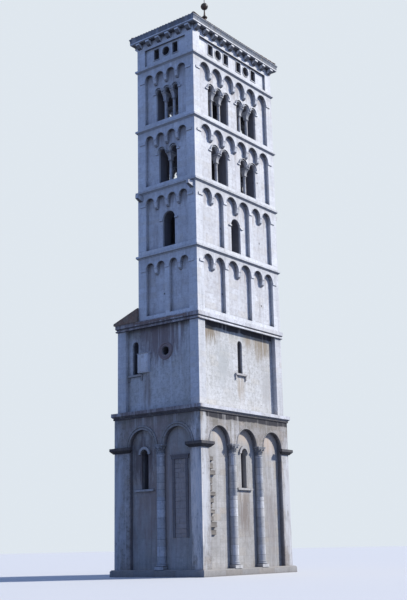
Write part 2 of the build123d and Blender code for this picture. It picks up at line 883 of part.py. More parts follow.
export_step(cornice_corbels.part, "parts/cornice_corbels.step")

# Cornice: a bed course and a deep fascia
bed_course = ring_course(
    shaft_width + 2 * bed_projection,
    shaft_depth + 2 * bed_projection,
    shaft_centre_y,
    shaft_room,
    cornice_z,
    bed_height,
    bed_chamfer,
)
bed_course.label = "bed_course"
export_step(bed_course, "parts/bed_course.step")

fascia = ring_course(
    shaft_width + 2 * cornice_projection,
    shaft_depth + 2 * cornice_projection,
    shaft_centre_y,
    shaft_room,
    cornice_z + bed_height,
    fascia_height,
    fascia_chamfer,
)
fascia.label = "cornice"
export_step(fascia, "parts/cornice.step")

# Roof: a low hollow pyramid
roof_z = cornice_z + bed_height + fascia_height
roof_margin = 60
roof_thickness = 440
roof_cap = 420
roof_overhang = cornice_projection - roof_margin
roof_seat = Plane(origin=(0, shaft_centre_y, roof_z))
roof_outside = tapered_block(
    roof_seat,
    centred(shaft_width + 2 * roof_overhang, shaft_depth + 2 * roof_overhang),
    centred(roof_cap, roof_cap),
    roof_top_z - roof_z,
)
roof_inside = tapered_block(
    roof_seat,
    centred(shaft_width - 2 * shaft_inset, shaft_depth - 2 * shaft_inset),
    centred(roof_cap / 2, roof_cap / 2),
    roof_top_z - roof_z - roof_thickness,
)
with BuildPart() as roof:
    add(roof_outside)
    add(roof_inside, mode=Mode.SUBTRACT)
roof.part.label = "roof"
export_step(roof.part, "parts/roof.step")

# Finial: each point is a radius and a height over the roof's top
ball_z = 38400 - roof_top_z
ball_radius = 260
ball_shoulder = (190, 180)
rod_radius = 28
rod_height = 2650
finial_sides = 12
finial_profile = (
    (190, 0),
    (190, 120),
    (120, 480),
    (200, 560),
    (60, 800),
    (45, ball_z - ball_radius),
    (ball_shoulder[0], ball_z - ball_shoulder[1]),
    (ball_radius, ball_z - 60),
    (ball_radius, ball_z + 60),
    (ball_shoulder[0], ball_z + ball_shoulder[1]),
    (rod_radius, ball_z + ball_radius),
    (rod_radius, rod_height),
)
with BuildPart() as finial:
    for (radius, low), (next_radius, high) in zip(finial_profile, finial_profile[1:]):
        slope = (radius - next_radius) * cos(pi / finial_sides) / (high - low)
        with BuildSketch(Plane(origin=(0, shaft_centre_y, roof_top_z + low))):
            RegularPolygon(radius, finial_sides)
        extrude(amount=high - low, taper=degrees(atan(slope)))
finial.part.label = "finial"
export_step(finial.part, "parts/finial.step")
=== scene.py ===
import math
import random

import bmesh
import bpy
from mathutils import Matrix, Vector


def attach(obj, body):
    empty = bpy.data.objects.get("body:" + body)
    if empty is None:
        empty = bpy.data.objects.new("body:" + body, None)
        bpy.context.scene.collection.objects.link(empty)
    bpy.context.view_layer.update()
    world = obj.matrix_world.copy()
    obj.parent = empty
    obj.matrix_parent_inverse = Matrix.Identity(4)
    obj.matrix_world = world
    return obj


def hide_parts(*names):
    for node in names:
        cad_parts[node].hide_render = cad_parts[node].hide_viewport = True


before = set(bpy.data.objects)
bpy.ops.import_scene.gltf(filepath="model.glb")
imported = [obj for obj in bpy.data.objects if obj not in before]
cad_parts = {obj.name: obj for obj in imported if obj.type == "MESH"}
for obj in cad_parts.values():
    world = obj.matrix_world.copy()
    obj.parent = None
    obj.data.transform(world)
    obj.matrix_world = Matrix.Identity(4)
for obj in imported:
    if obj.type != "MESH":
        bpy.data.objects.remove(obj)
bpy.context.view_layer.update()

# The view: a camera at a standing person's eye level, to the left in front of the tower,
# tilted up and leaning a little to one side.
eye = Vector((-49.592, -38.747, 1.65))
heading = math.radians(-52.193)
tilt = math.radians(13.9987)
lean = math.radians(-1.2013)
ahead = Vector((-math.sin(heading) * math.cos(tilt), math.cos(heading) * math.cos(tilt), math.sin(tilt)))
level_right = ahead.cross(Vector((0, 0, 1))).normalized()
level_up = level_right.cross(ahead)
right = level_right * math.cos(lean) + level_up * math.sin(lean)
up = level_up * math.cos(lean) - level_right * math.sin(lean)
lens = bpy.data.cameras.new("view")
lens.sensor_width = 36
lens.lens = 59.4
lens.clip_start = 1
lens.clip_end = 1000
camera = bpy.data.objects.new("view", lens)
camera.matrix_world = Matrix.Translation(eye) @ Matrix((right, up, -ahead)).transposed().to_4x4()
bpy.context.collection.objects.link(camera)
bpy.context.scene.camera = camera


# The light: one soft sun, high on the front right, and a pale even sky all round.
# The left side gets only the sky and what the floor throws back.
def feed(tree, socket, value):
    """Links a socket to another node's output, or sets it to a number or a colour."""
    if isinstance(value, bpy.types.NodeSocket):
        tree.links.new(value, socket)
    elif socket.type == "RGBA":
        socket.default_value = (*value, 1)
    else:
        socket.default_value = value


def wire(tree, kind, outlet, sockets, **settings):
    """Adds a shader node with its inputs and settings, and gives back one of its outputs."""
    node = tree.nodes.new("ShaderNode" + kind)
    for setting, value in settings.items():
        setattr(node, setting, value)
    for key, value in sockets.items():
        feed(tree, node.inputs[key], value)
    return node.outputs[outlet]


def reckon(tree, operation, *terms):
    """One step of arithmetic on values that change over the surface."""
    return wire(tree, "Math", 0, dict(enumerate(terms)), operation=operation)


def seen_directly(tree):
    """A mask for what is seen, by the camera or in metal and glass, and not for what it lights."""
    kinds = ("Camera", "Glossy", "Transmission")
    camera_ray, glossy_ray, glass_ray = (wire(tree, "LightPath", f"Is {kind} Ray", {}) for kind in kinds)
    return reckon(tree, "MAXIMUM", reckon(tree, "MAXIMUM", camera_ray, glossy_ray), glass_ray)


sun_lamp = bpy.data.lights.new("sun", "SUN")
sun_lamp.energy = 4.7
sun_lamp.angle = math.radians(4)
sun_lamp.color = (1.0, 0.98, 0.93)
sun = bpy.data.objects.new("sun", sun_lamp)
sun_from = Vector((0.95, -1.0, 1.08))
sun.rotation_mode = "QUATERNION"
sun.rotation_quaternion = sun_from.to_track_quat("Z", "Y")
bpy.context.collection.objects.link(sun)

sky = bpy.data.worlds.new("sky")
sky.use_nodes = True
sky_tree = sky.node_tree
sky_tree.nodes.clear()
sky_light = wire(sky_tree, "Background", 0, {"Color": (0.25, 0.44, 1.0), "Strength": 0.55})
sky_seen = wire(sky_tree, "Background", 0, {"Color": (0.74, 0.80, 0.86), "Strength": 1})
sky_mix = wire(sky_tree, "MixShader", 0, {"Fac": seen_directly(sky_tree), 1: sky_light, 2: sky_seen})
sky_out = sky_tree.nodes.new("ShaderNodeOutputWorld")
feed(sky_tree, sky_out.inputs["Surface"], sky_mix)
bpy.context.scene.world = sky
bpy.context.scene.view_settings.view_transform = "Standard"


# The floor: one plain sheet that the tower stands on. It is pale where it is seen, and darker
# for the light that it throws back.
def coat(tree, share, under, over, how="MIX"):
    """Lays one colour over another."""
    return wire(tree, "Mix", 2, {0: share, 6: under, 7: over}, data_type="RGBA", blend_type=how)


def new_finish(name):
    """Starts a material, and gives back with it its node tree and its shader's inputs."""
    finish = bpy.data.materials.new(name)
    finish.use_nodes = True
    tree = finish.node_tree
    return finish, tree, tree.nodes["Principled BSDF"].inputs


floor_half = 400
floor_mesh = bmesh.new()
bmesh.ops.create_grid(floor_mesh, x_segments=1, y_segments=1, size=floor_half)
floor_data = bpy.data.meshes.new("floor")
floor_mesh.to_mesh(floor_data)
floor_mesh.free()
floor = bpy.data.objects.new("floor", floor_data)
floor_finish, floor_tree, floor_inputs = new_finish("floor")
floor_colour = coat(floor_tree, seen_directly(floor_tree), (0.14, 0.165, 0.21), (0.62, 0.62, 0.62))
feed(floor_tree, floor_inputs["Base Color"], floor_colour)
floor_inputs["Roughness"].default_value = 0.9
floor_data.materials.append(floor_finish)
bpy.context.collection.objects.link(floor)


# Plinth and ground storey walls: blocks of marble in courses, weathered warm and grey.
# Every marble here shares the same courses, streaks, grime and painted shade, each with its own strength.
def fade(tree, value, low, high):
    """Turns a value into a mask that is 0 at low and 1 at high."""
    sockets = {"Value": value, "From Min": low, "From Max": high}
    return wire(tree, "MapRange", "Result", sockets, interpolation_type="SMOOTHSTEP")


def stone_spot(tree):
    """Where a point of the surface lies on the tower."""
    return wire(tree, "TexCoord", "Object", {})


def coordinate(tree, axis):
    """How far along an axis a point of the surface lies."""
    return wire(tree, "SeparateXYZ", axis, {"Vector": stone_spot(tree)})


def cloud(tree, stretch, detail, spread=0.55):
    """Soft noise over the stone, stretched by a scale for each axis."""
    place = wire(tree, "Mapping", 0, {"Vector": stone_spot(tree), "Scale": stretch})
    return wire(tree, "TexNoise", 0, {"Vector": place, "Scale": 1, "Detail": detail, "Roughness": spread})


def new_group(name, inputs, outputs):
    """Starts a group of nodes whose inputs and outputs are numbers."""
    group = bpy.data.node_groups.new(name, "ShaderNodeTree")
    for label, value in inputs.items():
        socket = group.interface.new_socket(label, in_out="INPUT", socket_type="NodeSocketFloat")
        socket.default_value = value
    for label in outputs:
        group.interface.new_socket(label, in_out="OUTPUT", socket_type="NodeSocketFloat")
    return group, group.nodes.new("NodeGroupInput").outputs, group.nodes.new("NodeGroupOutput").inputs


def use_group(tree, group, **values):
    """Puts a group into a material and gives back its outputs."""
    node = tree.nodes.new("ShaderNodeGroup")
    node.node_tree = group
    for label, value in values.items():
        feed(tree, node.inputs[label.replace("_", " ").capitalize()], value)
    return node.outputs


course_inputs = {"Course height": 0.35, "Block length": 0.9, "Joint width": 0.01}
courses, given, made = new_group("block_courses", course_inputs, ("Joint", "Tone", "Warmth"))
x, y, z = (coordinate(courses, axis) for axis in "XYZ")
swell = wire(courses, "TexNoise", 0, {"W": z, "Scale": 0.7, "Detail": 1}, noise_dimensions="1D")
height = reckon(courses, "MULTIPLY_ADD", swell, 0.7, z)
row = reckon(courses, "FLOOR", reckon(courses, "DIVIDE", height, given["Course height"]))
chance = wire(courses, "TexWhiteNoise", "Value", {"W": row}, noise_dimensions="1D")
along = reckon(courses, "ADD", x, y)
along = reckon(courses, "MULTIPLY", along, reckon(courses, "MULTIPLY_ADD", chance, 0.6, 0.7))
along = reckon(courses, "MULTIPLY_ADD", chance, 7.3, along)
brick = courses.nodes.new("ShaderNodeTexBrick")
brick.offset = 0.37
brick_inputs = {
    "Vector": wire(courses, "CombineXYZ", 0, {"X": along, "Y": height}), "Color1": (0, 0, 0),
    "Color2": (1, 1, 1), "Mortar": (0.5, 0.5, 0.5), "Scale": 1, "Mortar Smooth": 0.7,
    "Mortar Size": given["Joint width"], "Brick Width": given["Block length"],
    "Row Height": given["Course height"],
}
for label, value in brick_inputs.items():
    feed(courses, brick.inputs[label], value)
tone = wire(courses, "SeparateColor", "Red", {"Color": brick.outputs["Color"]})
lot = reckon(courses, "MULTIPLY", tone, 91.7)
feed(courses, made["Joint"], brick.outputs["Fac"])
feed(courses, made["Tone"], tone)
feed(courses, made["Warmth"], wire(courses, "TexWhiteNoise", "Value", {"W": lot}, noise_dimensions="1D"))

# Each mask of the weathering: its stretch, detail and roughness, and where it starts and is full
weather_masks = {
    "Streaks": ((1.7, 1.7, 0.13), 5, 0.55, 0.45, 0.68), "Drips": ((6.5, 6.5, 0.35), 4, 0.55, 0.47, 0.65),
    "Lime": ((3.1, 3.1, 0.16), 4, 0.6, 0.53, 0.66), "Patches": ((0.42, 0.42, 0.55), 6, 0.65, 0.38, 0.66),
    "Mottle": ((3.7, 3.7, 4.1), 8, 0.8, 0.46, 0.6), "Spots": ((6.3, 6.3, 6.9), 3, 0.55, 0.66, 0.76),
}
weather, given, made = new_group("weathering", {}, (*weather_masks, "Grain"))
for label, (stretch, detail, spread, low, high) in weather_masks.items():
    feed(weather, made[label], fade(weather, cloud(weather, stretch, detail, spread), low, high))
feed(weather, made["Grain"], cloud(weather, (11, 11, 11), 6, 0.7))

# A repeat taller than the tower, for stains that run down from one height only
stain_once = 100.0
stain_inputs = {"Top": 19.39, "Reach": 1.2, "Repeat": stain_once, "Softness": 0.8}
run_off, given, made = new_group("run_off", stain_inputs, ("Stain",))
below = reckon(run_off, "SUBTRACT", given["Top"], coordinate(run_off, "Z"))
below = reckon(run_off, "FLOORED_MODULO", below, given["Repeat"])
drip_length = reckon(run_off, "MULTIPLY_ADD", cloud(run_off, (3.1, 3.1, 0.1), 5, 0.7), 2.2, -0.45)
drip_length = reckon(run_off, "MULTIPLY", drip_length, given["Reach"])
run_length = reckon(run_off, "SUBTRACT", drip_length, below)
feed(run_off, made["Stain"], fade(run_off, run_length, 0.0, given["Softness"]))

# Grime with painted shade: darker in the hollows (ambient occlusion) and on faces that look down; the
# tops get grime only.
soot_and_shade, given, made = new_group("soot_and_shade", {"Reach": 0.35}, ("Hollows", "Undersides", "Tops"))
openness = wire(soot_and_shade, "AmbientOcclusion", "AO", {"Distance": given["Reach"]}, samples=6)
feed(soot_and_shade, made["Hollows"], fade(soot_and_shade, reckon(soot_and_shade, "SUBTRACT", 1, openness), 0.2, 0.75))
facing = wire(soot_and_shade, "SeparateXYZ", "Z", {"Vector": wire(soot_and_shade, "NewGeometry", "Normal", {})})
feed(soot_and_shade, made["Tops"], fade(soot_and_shade, facing, 0.4, 0.9))
feed(soot_and_shade, made["Undersides"], fade(soot_and_shade, reckon(soot_and_shade, "MULTIPLY", facing, -1), 0.3, 0.9))

putlog_inputs = {"Spacing": 2.13, "Lowest": 16.9, "Rise": 4.28, "Size": 0.055}
putlogs, given, made = new_group("scaffold_holes", putlog_inputs, ("Hole",))
x, y, z = (coordinate(putlogs, axis) for axis in "XYZ")
along = reckon(putlogs, "ADD", reckon(putlogs, "ADD", x, y), 0.4)
along = reckon(putlogs, "PINGPONG", along, given["Spacing"])
level = reckon(putlogs, "SUBTRACT", z, given["Lowest"])
level = reckon(putlogs, "PINGPONG", level, reckon(putlogs, "MULTIPLY", given["Rise"], 0.5))
in_column = reckon(putlogs, "LESS_THAN", along, given["Size"])
in_row = reckon(putlogs, "LESS_THAN", level, given["Size"])
feed(putlogs, made["Hole"], reckon(putlogs, "MULTIPLY", in_column, in_row))


def local_mark(tree, centre, size):
    """A soft oval mask round one place on the stone."""
    shift = tuple(-middle / half for middle, half in zip(centre, size))
    scale = tuple(1 / half for half in size)
    place = wire(tree, "Mapping", 0, {"Vector": stone_spot(tree), "Location": shift, "Scale": scale})
    near = wire(tree, "TexGradient", "Fac", {"Vector": place}, gradient_type="SPHERICAL")
    ragged = reckon(tree, "MULTIPLY_ADD", cloud(tree, (3.5, 3.5, 0.7), 7, 0.75), 2.4, -1.2)
    return fade(tree, reckon(tree, "MULTIPLY_ADD", near, 1.3, ragged), 0.2, 1.1)


def reveal_dirt_and_shade(tree, half_x, half_y, middle_y):
    """A mask of the reveals and inner faces: painted shade deep in the openings, with the staining that
    rain and cleaning never reach.
    """
    across = reckon(tree, "SUBTRACT", half_x, reckon(tree, "ABSOLUTE", coordinate(tree, "X")))
    deep = reckon(tree, "ABSOLUTE", reckon(tree, "SUBTRACT", coordinate(tree, "Y"), middle_y))
    deep = reckon(tree, "SUBTRACT", half_y, deep)
    return fade(tree, reckon(tree, "MINIMUM", across, deep), 0.0, 0.12)


def shadow_under_course(tree, top, reach, lime):
    """A mask of the painted shadow under a course, with its staining: uneven, softer on the shaded left
    side, broken by lime.
    """
    shaded = fade(tree, coordinate(tree, "X"), -3.95, -4.14)
    softness = reckon(tree, "MULTIPLY_ADD", shaded, 0.8, 0.08)
    uneven = cloud(tree, (0.8, 0.8, 0.2), 4)
    uneven = reckon(tree, "MULTIPLY_ADD", uneven, 0.7 * reach, top - 1.35 * reach)
    dark = fade(tree, reckon(tree, "SUBTRACT", coordinate(tree, "Z"), uneven), 0.0, softness)
    return reckon(tree, "MULTIPLY", dark, reckon(tree, "MULTIPLY_ADD", lime, -0.6, 1))


def wash(tree, colour, mask, share, over):
    """Lays a colour over another where a mask is, at a share of its strength."""
    return coat(tree, reckon(tree, "MULTIPLY", mask, share), colour, over)


def dress(tree, inputs, colour, rough, relief, strength, depth):
    """Gives a shader its colour, its roughness, and its relief as a bump of a strength and depth."""
    feed(tree, inputs["Base Color"], colour)
    feed(tree, inputs["Roughness"], rough)
    bump = wire(tree, "Bump", 0, {"Height": relief, "Strength": strength, "Distance": depth})
    feed(tree, inputs["Normal"], bump)


def marble(
    name, pale, grey, warm, grime_and_shade=(0.085, 0.08, 0.085), tone=0.5, streaks=0.35, lime=0.0, mottle=0.25,
    spots=0.3, shadow_band=None, dirt_and_shade_reach=0.6, hollows=0.55, stains=0.5, stain_colour=(0.20, 0.18, 0.15),
    stain_top=19.39, stain_reach=1.2, stain_repeat=4.29, joints=0.55, course=0.35, block=0.9, tops=0.45,
    undersides=0.5, patches=0.38, inner=(4.1, 2.07, -0.885), inner_dirt_and_shade=0.88, scaffold_holes=0.0,
    marks=(),
):
    """A weathered marble finish. marks lists local marks as centre, size, colour and share; most are
    stains, and some are painted light and some painted shade. The painted shadow under a course,
    with its staining, is given as its top, reach, share and colour."""
    finish, tree, inputs = new_finish(name)
    laid = use_group(tree, courses, course_height=course, block_length=block)
    worn = use_group(tree, weather)
    dirt_and_shade = use_group(tree, soot_and_shade, reach=dirt_and_shade_reach)
    run = use_group(tree, run_off, top=stain_top, reach=stain_reach, repeat=stain_repeat)
    colour = wash(tree, pale, laid["Tone"], tone, grey)
    colour = wash(tree, colour, fade(tree, laid["Warmth"], 0.72, 0.95), 0.38, warm)
    colour = wash(tree, colour, worn["Patches"], patches, grey)
    speckle = reckon(tree, "MULTIPLY_ADD", worn["Grain"], 0.5, 0.75)
    speckle = wire(tree, "CombineColor", 0, {0: speckle, 1: speckle, 2: speckle})
    colour = coat(tree, 1.0, colour, speckle, "MULTIPLY")
    colour = wash(tree, colour, laid["Joint"], joints, grime_and_shade)
    rain = reckon(tree, "MULTIPLY_ADD", worn["Drips"], 0.6, 0.4)
    rain = reckon(tree, "MULTIPLY", worn["Streaks"], rain)
    rain = reckon(tree, "MAXIMUM", rain, reckon(tree, "MULTIPLY", worn["Drips"], 0.3))
    for mask, share in ((rain, streaks), (run["Stain"], stains), (worn["Mottle"], mottle)):
        colour = wash(tree, colour, mask, share, stain_colour)
    for centre, size, mark_colour, share in marks:
        colour = wash(tree, colour, local_mark(tree, centre, size), share, mark_colour)
    colour = wash(tree, colour, worn["Spots"], spots, grime_and_shade)
    if lime:
        colour = wash(tree, colour, worn["Lime"], lime, (0.76, 0.76, 0.78))
    # The painted shadow under a course, near black, with some grime.
    if shadow_band:
        top, reach, share, shadow_band_colour = shadow_band
        colour = wash(tree, colour, shadow_under_course(tree, top, reach, worn["Lime"]), share, shadow_band_colour)
    if scaffold_holes:
        hole = use_group(tree, putlogs)["Hole"]
        colour = wash(tree, colour, hole, scaffold_holes, (0.05, 0.045, 0.045))
    # Reveals and inner faces are darkened: painted shade in the deep openings, with some grime.
    if inner_dirt_and_shade:
        colour = wash(tree, colour, reveal_dirt_and_shade(tree, *inner), inner_dirt_and_shade, (0.11, 0.105, 0.12))
    # Grime on the tops; grime and painted shade on the undersides and in the hollows.
    for side, share in (("Tops", tops), ("Undersides", undersides), ("Hollows", hollows)):
        colour = wash(tree, colour, dirt_and_shade[side], share, grime_and_shade)
    rough = reckon(tree, "MULTIPLY_ADD", worn["Grain"], 0.3, 0.57)
    relief = reckon(
        tree, "MULTIPLY_ADD", worn["Grain"], 0.5, reckon(tree, "MULTIPLY", laid["Tone"], 0.35)
    )
    relief = reckon(tree, "MULTIPLY_ADD", laid["Joint"], -1.6 * joints, relief)
    dress(tree, inputs, colour, rough, relief, 0.6, 0.012)
    inputs["Specular IOR Level"].default_value = 0.3
    return finish


def clad(finish, *names):
    """Gives CAD nodes a finish."""
    for name in names:
        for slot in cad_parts[name].material_slots:
            slot.material = finish


ground_pale = (0.53, 0.51, 0.49)
ground_grey = (0.38, 0.37, 0.36)
ground_warm = (0.50, 0.39, 0.27)
# Local marks in the ground recesses: the first three are painted warm reflected light under the arch
# heads, the next two darken the lower part of the middle and right bays, and the last two tint the left
# side brown and darken its rear arch.
recess_marks_and_painted_light = (
    ((-2.4, -3.1, 8.2), (1.3, 1.5, 1.3), (0.60, 0.50, 0.40), 0.6),
    ((0.2, -3.1, 8.2), (1.2, 1.5, 1.0), (0.58, 0.46, 0.35), 0.65),
    ((2.6, -3.1, 8.0), (1.2, 1.5, 1.5), (0.58, 0.44, 0.33), 0.65),
    ((0.0, -3.1, 3.5), (1.1, 1.5, 2.6), (0.25, 0.21, 0.185), 0.9),
    ((2.75, -3.1, 3.2), (1.1, 1.5, 3.6), (0.28, 0.25, 0.24), 0.75),
    ((-4.25, -0.3, 4.6), (0.6, 4.2, 5.4), (0.33, 0.255, 0.225), 0.75),
    ((-4.25, 1.3, 6.9), (0.6, 1.9, 2.6), (0.13, 0.11, 0.11), 0.85),
)
recess_marble = marble(
    "ground_recess_marble", ground_pale, ground_grey, ground_warm, tone=0.3, streaks=0.6, lime=0.2,
    spots=0.45, stains=0.5, stain_top=9.42, stain_reach=1.6, stain_repeat=stain_once, joints=0.2,
    course=0.38, patches=0.8, hollows=0.3, inner=(4.06, 2.91, 0.0), marks=recess_marks_and_painted_light,
)
clad(recess_marble, "ground_long_walls", "ground_short_walls")
# Local marks on the arcade: pale corner piers and pale patches, brown on the left side, and a bright warm
# patch of painted light on the shaded left face of the near corner pier.
arcade_marks_and_painted_light = (
    ((-4.35, -3.2, 4.6), (1.0, 1.1, 7.0), (0.63, 0.635, 0.65), 0.95),
    ((-4.2, -3.39, 8.6), (0.35, 0.3, 1.6), (0.62, 0.62, 0.62), 0.7),
    ((-1.37, -3.39, 8.3), (0.25, 0.6, 1.3), (0.66, 0.65, 0.64), 0.6),
    ((-4.7, 0.5, 8.5), (0.5, 3.9, 2.0), (0.30, 0.235, 0.22), 0.75),
    ((-4.72, -2.75, 4.2), (0.6, 1.1, 6.5), (0.95, 0.84, 0.74), 0.95),
    ((4.35, -3.2, 4.6), (1.0, 1.1, 7.0), (0.66, 0.66, 0.67), 0.85),
    ((-4.35, 3.2, 4.6), (1.0, 1.1, 7.0), (0.62, 0.62, 0.63), 0.8),
    ((4.35, 3.2, 4.6), (1.0, 1.1, 7.0), (0.62, 0.62, 0.63), 0.8),
)
# The arcade carries a near-black painted shadow, with some grime, under the ledge, and painted shade on
# its undersides.
arcade_marble = marble(
    "ground_arcade_marble", (0.50, 0.48, 0.47), (0.30, 0.27, 0.255), (0.42, 0.32, 0.23), streaks=0.55,
    lime=0.3, mottle=0.75, spots=0.7, shadow_band=(9.42, 0.42, 0.97, (0.02, 0.02, 0.03)), stains=0.7,
    stain_top=9.42, stain_reach=1.5, stain_repeat=stain_once, joints=0.3, course=0.38, patches=0.8,
    undersides=0.9, inner=(4.52, 3.37, 0.0), inner_dirt_and_shade=0.75, marks=arcade_marks_and_painted_light,
)
clad(arcade_marble, "blind_arcade")
plinth_marble = marble(
    "plinth_marble", (0.44, 0.42, 0.40), (0.27, 0.26, 0.25), (0.38, 0.31, 0.24), stains=0.0, tops=0.3,
    course=0.4, block=1.3,
)
clad(plinth_marble, "plinth")


# Half columns of the ground arcade: turned marble shafts in two drums on moulded bases, with
# capitals of two rings of leaves and corner scrolls under a flat abacus. Built into the wall.
def turned(profile, steps):
    """A shape turned round the Z axis from a row of (radius, height) points."""
    shape = bmesh.new()
    verts = [shape.verts.new((radius, 0, height)) for radius, height in profile]
    edges = [shape.edges.new(pair) for pair in zip(verts, verts[1:])]
    bmesh.ops.spin(
        shape, geom=verts + edges, cent=(0, 0, 0), axis=(0, 0, 1), dvec=(0, 0, 0), angle=math.tau,
        steps=steps, use_merge=True,
    )
    bmesh.ops.remove_doubles(shape, verts=shape.verts, dist=0.0001)
    return shape


def stacked(steps):
    """A block whose plan changes as it rises. A step is half its width, its front, back and height."""
    shape = bmesh.new()
    half, front, back, height = steps[0]
    plan = ((-half, front), (half, front), (half, back), (-half, back))
    top = shape.faces.new([shape.verts.new((x, y, height)) for x, y in plan])
    for half, front, back, height in steps[1:]:
        middle = top.calc_center_median().y
        grown = bmesh.ops.extrude_face_region(shape, geom=[top, *top.edges, *top.verts])["geom"]
        top = next(item for item in grown if isinstance(item, bmesh.types.BMFace))
        for vert in top.verts:
            depth = front if vert.co.y < middle else back
            vert.co = (math.copysign(half, vert.co.x), depth, height)
    return shape


def raised(level, *points):
    """The points of a profile, or the steps of a block, with their heights given from a level."""
    return [(*point[:-1], level + point[-1]) for point in points]


def set_copies(mesh, shape, places):
    """Adds a copy of a shape to a mesh at each place, and lets the shape go."""
    pattern = bpy.data.meshes.new("pattern")
    shape.to_mesh(pattern)
    shape.free()
    for place in places:
        copy = pattern.copy()
        copy.transform(place)
        mesh.from_mesh(copy)
        bpy.data.meshes.remove(copy)
    bpy.data.meshes.remove(pattern)


def make_piece(name, mesh, finish, sharp=35):
    """Turns a finished bmesh into an object at the origin, with its faces outward."""
    bmesh.ops.recalc_face_normals(mesh, faces=mesh.faces)
    data = bpy.data.meshes.new(name)
    mesh.to_mesh(data)
    mesh.free()
    data.shade_smooth()
    data.set_sharp_from_angle(angle=math.radians(sharp))
    data.materials.append(finish)
    piece = bpy.data.objects.new(name, data)
    bpy.context.collection.objects.link(piece)
    return piece


half_width = 4.4
front_y = -3.25
base_back = 3.25
shaft_back = 1.48
all_sides = ("front", "right", "back", "left")
# The right side of the base mirrors the left, so places along it have the opposite sign
short_sides = (("left", 1), ("right", -1))


def on_wall(side, back, u=0.0, depth=0.0, z=0.0):
    """Where a piece drawn for the front goes: x along the wall, y into it, from its middle."""
    middle = (front_y + back) / 2
    turns = {
        "front": (0, (0, front_y, 0)), "right": (math.pi / 2, (half_width, middle, 0)),
        "back": (math.pi, (0, back, 0)), "left": (-math.pi / 2, (-half_width, middle, 0)),
    }
    angle, origin = turns[side]
    turn = Matrix.Rotation(angle, 4, "Z")
    return Matrix.Translation(origin) @ turn @ Matrix.Translation((u, depth, z))


def curled_leaf(width, rise, lean_out, radius):
    """One capital leaf: it climbs the bell, leans out and curls over at its tip."""
    leaf = bmesh.new()
    foot = ((0, 0, 0.8), (0.02, 0.35, 1), (0.25, 0.72, 0.9))
    tip = ((0.7, 0.95, 0.68), (1, 1, 0.4), (1.12, 0.86, 0.12))
    thickness = 0.022
    rows = []
    for out, up_share, broad in foot + tip:
        reach = radius + out * lean_out
        half = width / 2 * broad
        spots = ((-half, thickness - reach), (0, -reach - 0.012), (half, thickness - reach))
        rows.append([leaf.verts.new((x, y, up_share * rise)) for x, y in spots])
    for low, high in zip(rows, rows[1:]):
        for left, right in ((0, 1), (1, 2)):
            leaf.faces.new((low[left], low[right], high[right], high[left]))
    bmesh.ops.solidify(leaf, geom=leaf.faces[:], thickness=thickness)
    return leaf


def leaf_ring(count, height, turn=0.0):
    """The places of the leaves round a bell, the first one turned by some degrees."""
    lift = Matrix.Translation((0, 0, height))
    return [lift @ Matrix.Rotation(math.radians(360 / count * i + turn), 4, "Z") for i in range(count)]


def cut_off(mesh, place, outward):
    """Cuts away what lies beyond a plane, and closes the cut."""
    geometry = mesh.verts[:] + mesh.edges[:] + mesh.faces[:]
    bmesh.ops.bisect_plane(mesh, geom=geometry, plane_co=place, plane_no=outward, clear_outer=True)
    bmesh.ops.holes_fill(mesh, edges=[edge for edge in mesh.edges if edge.is_boundary], sides=0)


column_foot = 0.4
column_base = 0.58
column_joint = 4.55
column_neck = 7.05
abacus_z = 7.47
column_profile = [
    (0, column_base), (0.31, column_base), (0.332, 0.6), (0.336, 0.625), (0.325, 0.655), (0.3, 0.665),
    (0.287, 0.685), (0.286, 0.705), (0.305, 0.72), (0.308, 0.74), (0.298, 0.76), (0.272, 0.775),
    (0.265, 0.83), *raised(column_joint, (0.262, -0.03), (0.25, -0.012), (0.25, 0.012), (0.26, 0.03)),
    *raised(
        column_neck, (0.252, -0.1), (0.258, -0.06), (0.282, -0.045), (0.284, -0.02), (0.255, 0),
        (0.235, 0.04), (0.24, 0.25), (0.285, 0.38),
    ),
    (0.3, abacus_z), (0, abacus_z),
]
column_spots = [(side, u) for side in ("front", "back") for u in (-1.375, 1.375)]
column_spots += [(side, hand * 0.225) for side, hand in short_sides]
columns = bmesh.new()
one_column = turned(column_profile, 32)
foot_steps = (
    (0.33, -0.315, 0.14, column_foot), (0.34, -0.315, 0.14, column_foot + 0.015),
    (0.34, -0.315, 0.14, column_base),
)
set_copies(one_column, stacked(foot_steps), [Matrix()])
low_leaf = curled_leaf(0.17, 0.2, 0.06, 0.245)
set_copies(one_column, low_leaf, leaf_ring(8, column_neck + 0.01))
high_leaf = curled_leaf(0.17, 0.33, 0.085, 0.25)
set_copies(one_column, high_leaf, leaf_ring(8, column_neck + 0.03, 22.5))
scroll_profile = ((0, -0.03), (0.045, -0.03), (0.055, -0.018), (0.055, 0.018), (0.045, 0.03), (0, 0.03))
scroll_places = []
for angle in (-45, 45, 135, 225):
    corner = Matrix.Rotation(math.radians(angle), 4, "Z")
    corner = corner @ Matrix.Translation((0, -0.345, abacus_z - 0.065))
    scroll_places.append(corner @ Matrix.Rotation(math.radians(90), 4, "Y"))
set_copies(one_column, turned(scroll_profile, 12), scroll_places)
abacus_steps = raised(
    abacus_z, (0.30, -0.28, 0.14, 0), (0.35, -0.30, 0.14, 0.03), (0.36, -0.305, 0.14, 0.05),
    (0.36, -0.305, 0.14, 0.075), (0.375, -0.32, 0.14, 0.09), (0.375, -0.32, 0.14, 0.13),
)
set_copies(one_column, stacked(abacus_steps), [Matrix()])
built_in = 0.145
cut_off(one_column, (0, built_in, 0), (0, 1, 0))
set_copies(columns, one_column, [on_wall(side, base_back, u) for side, u in column_spots])
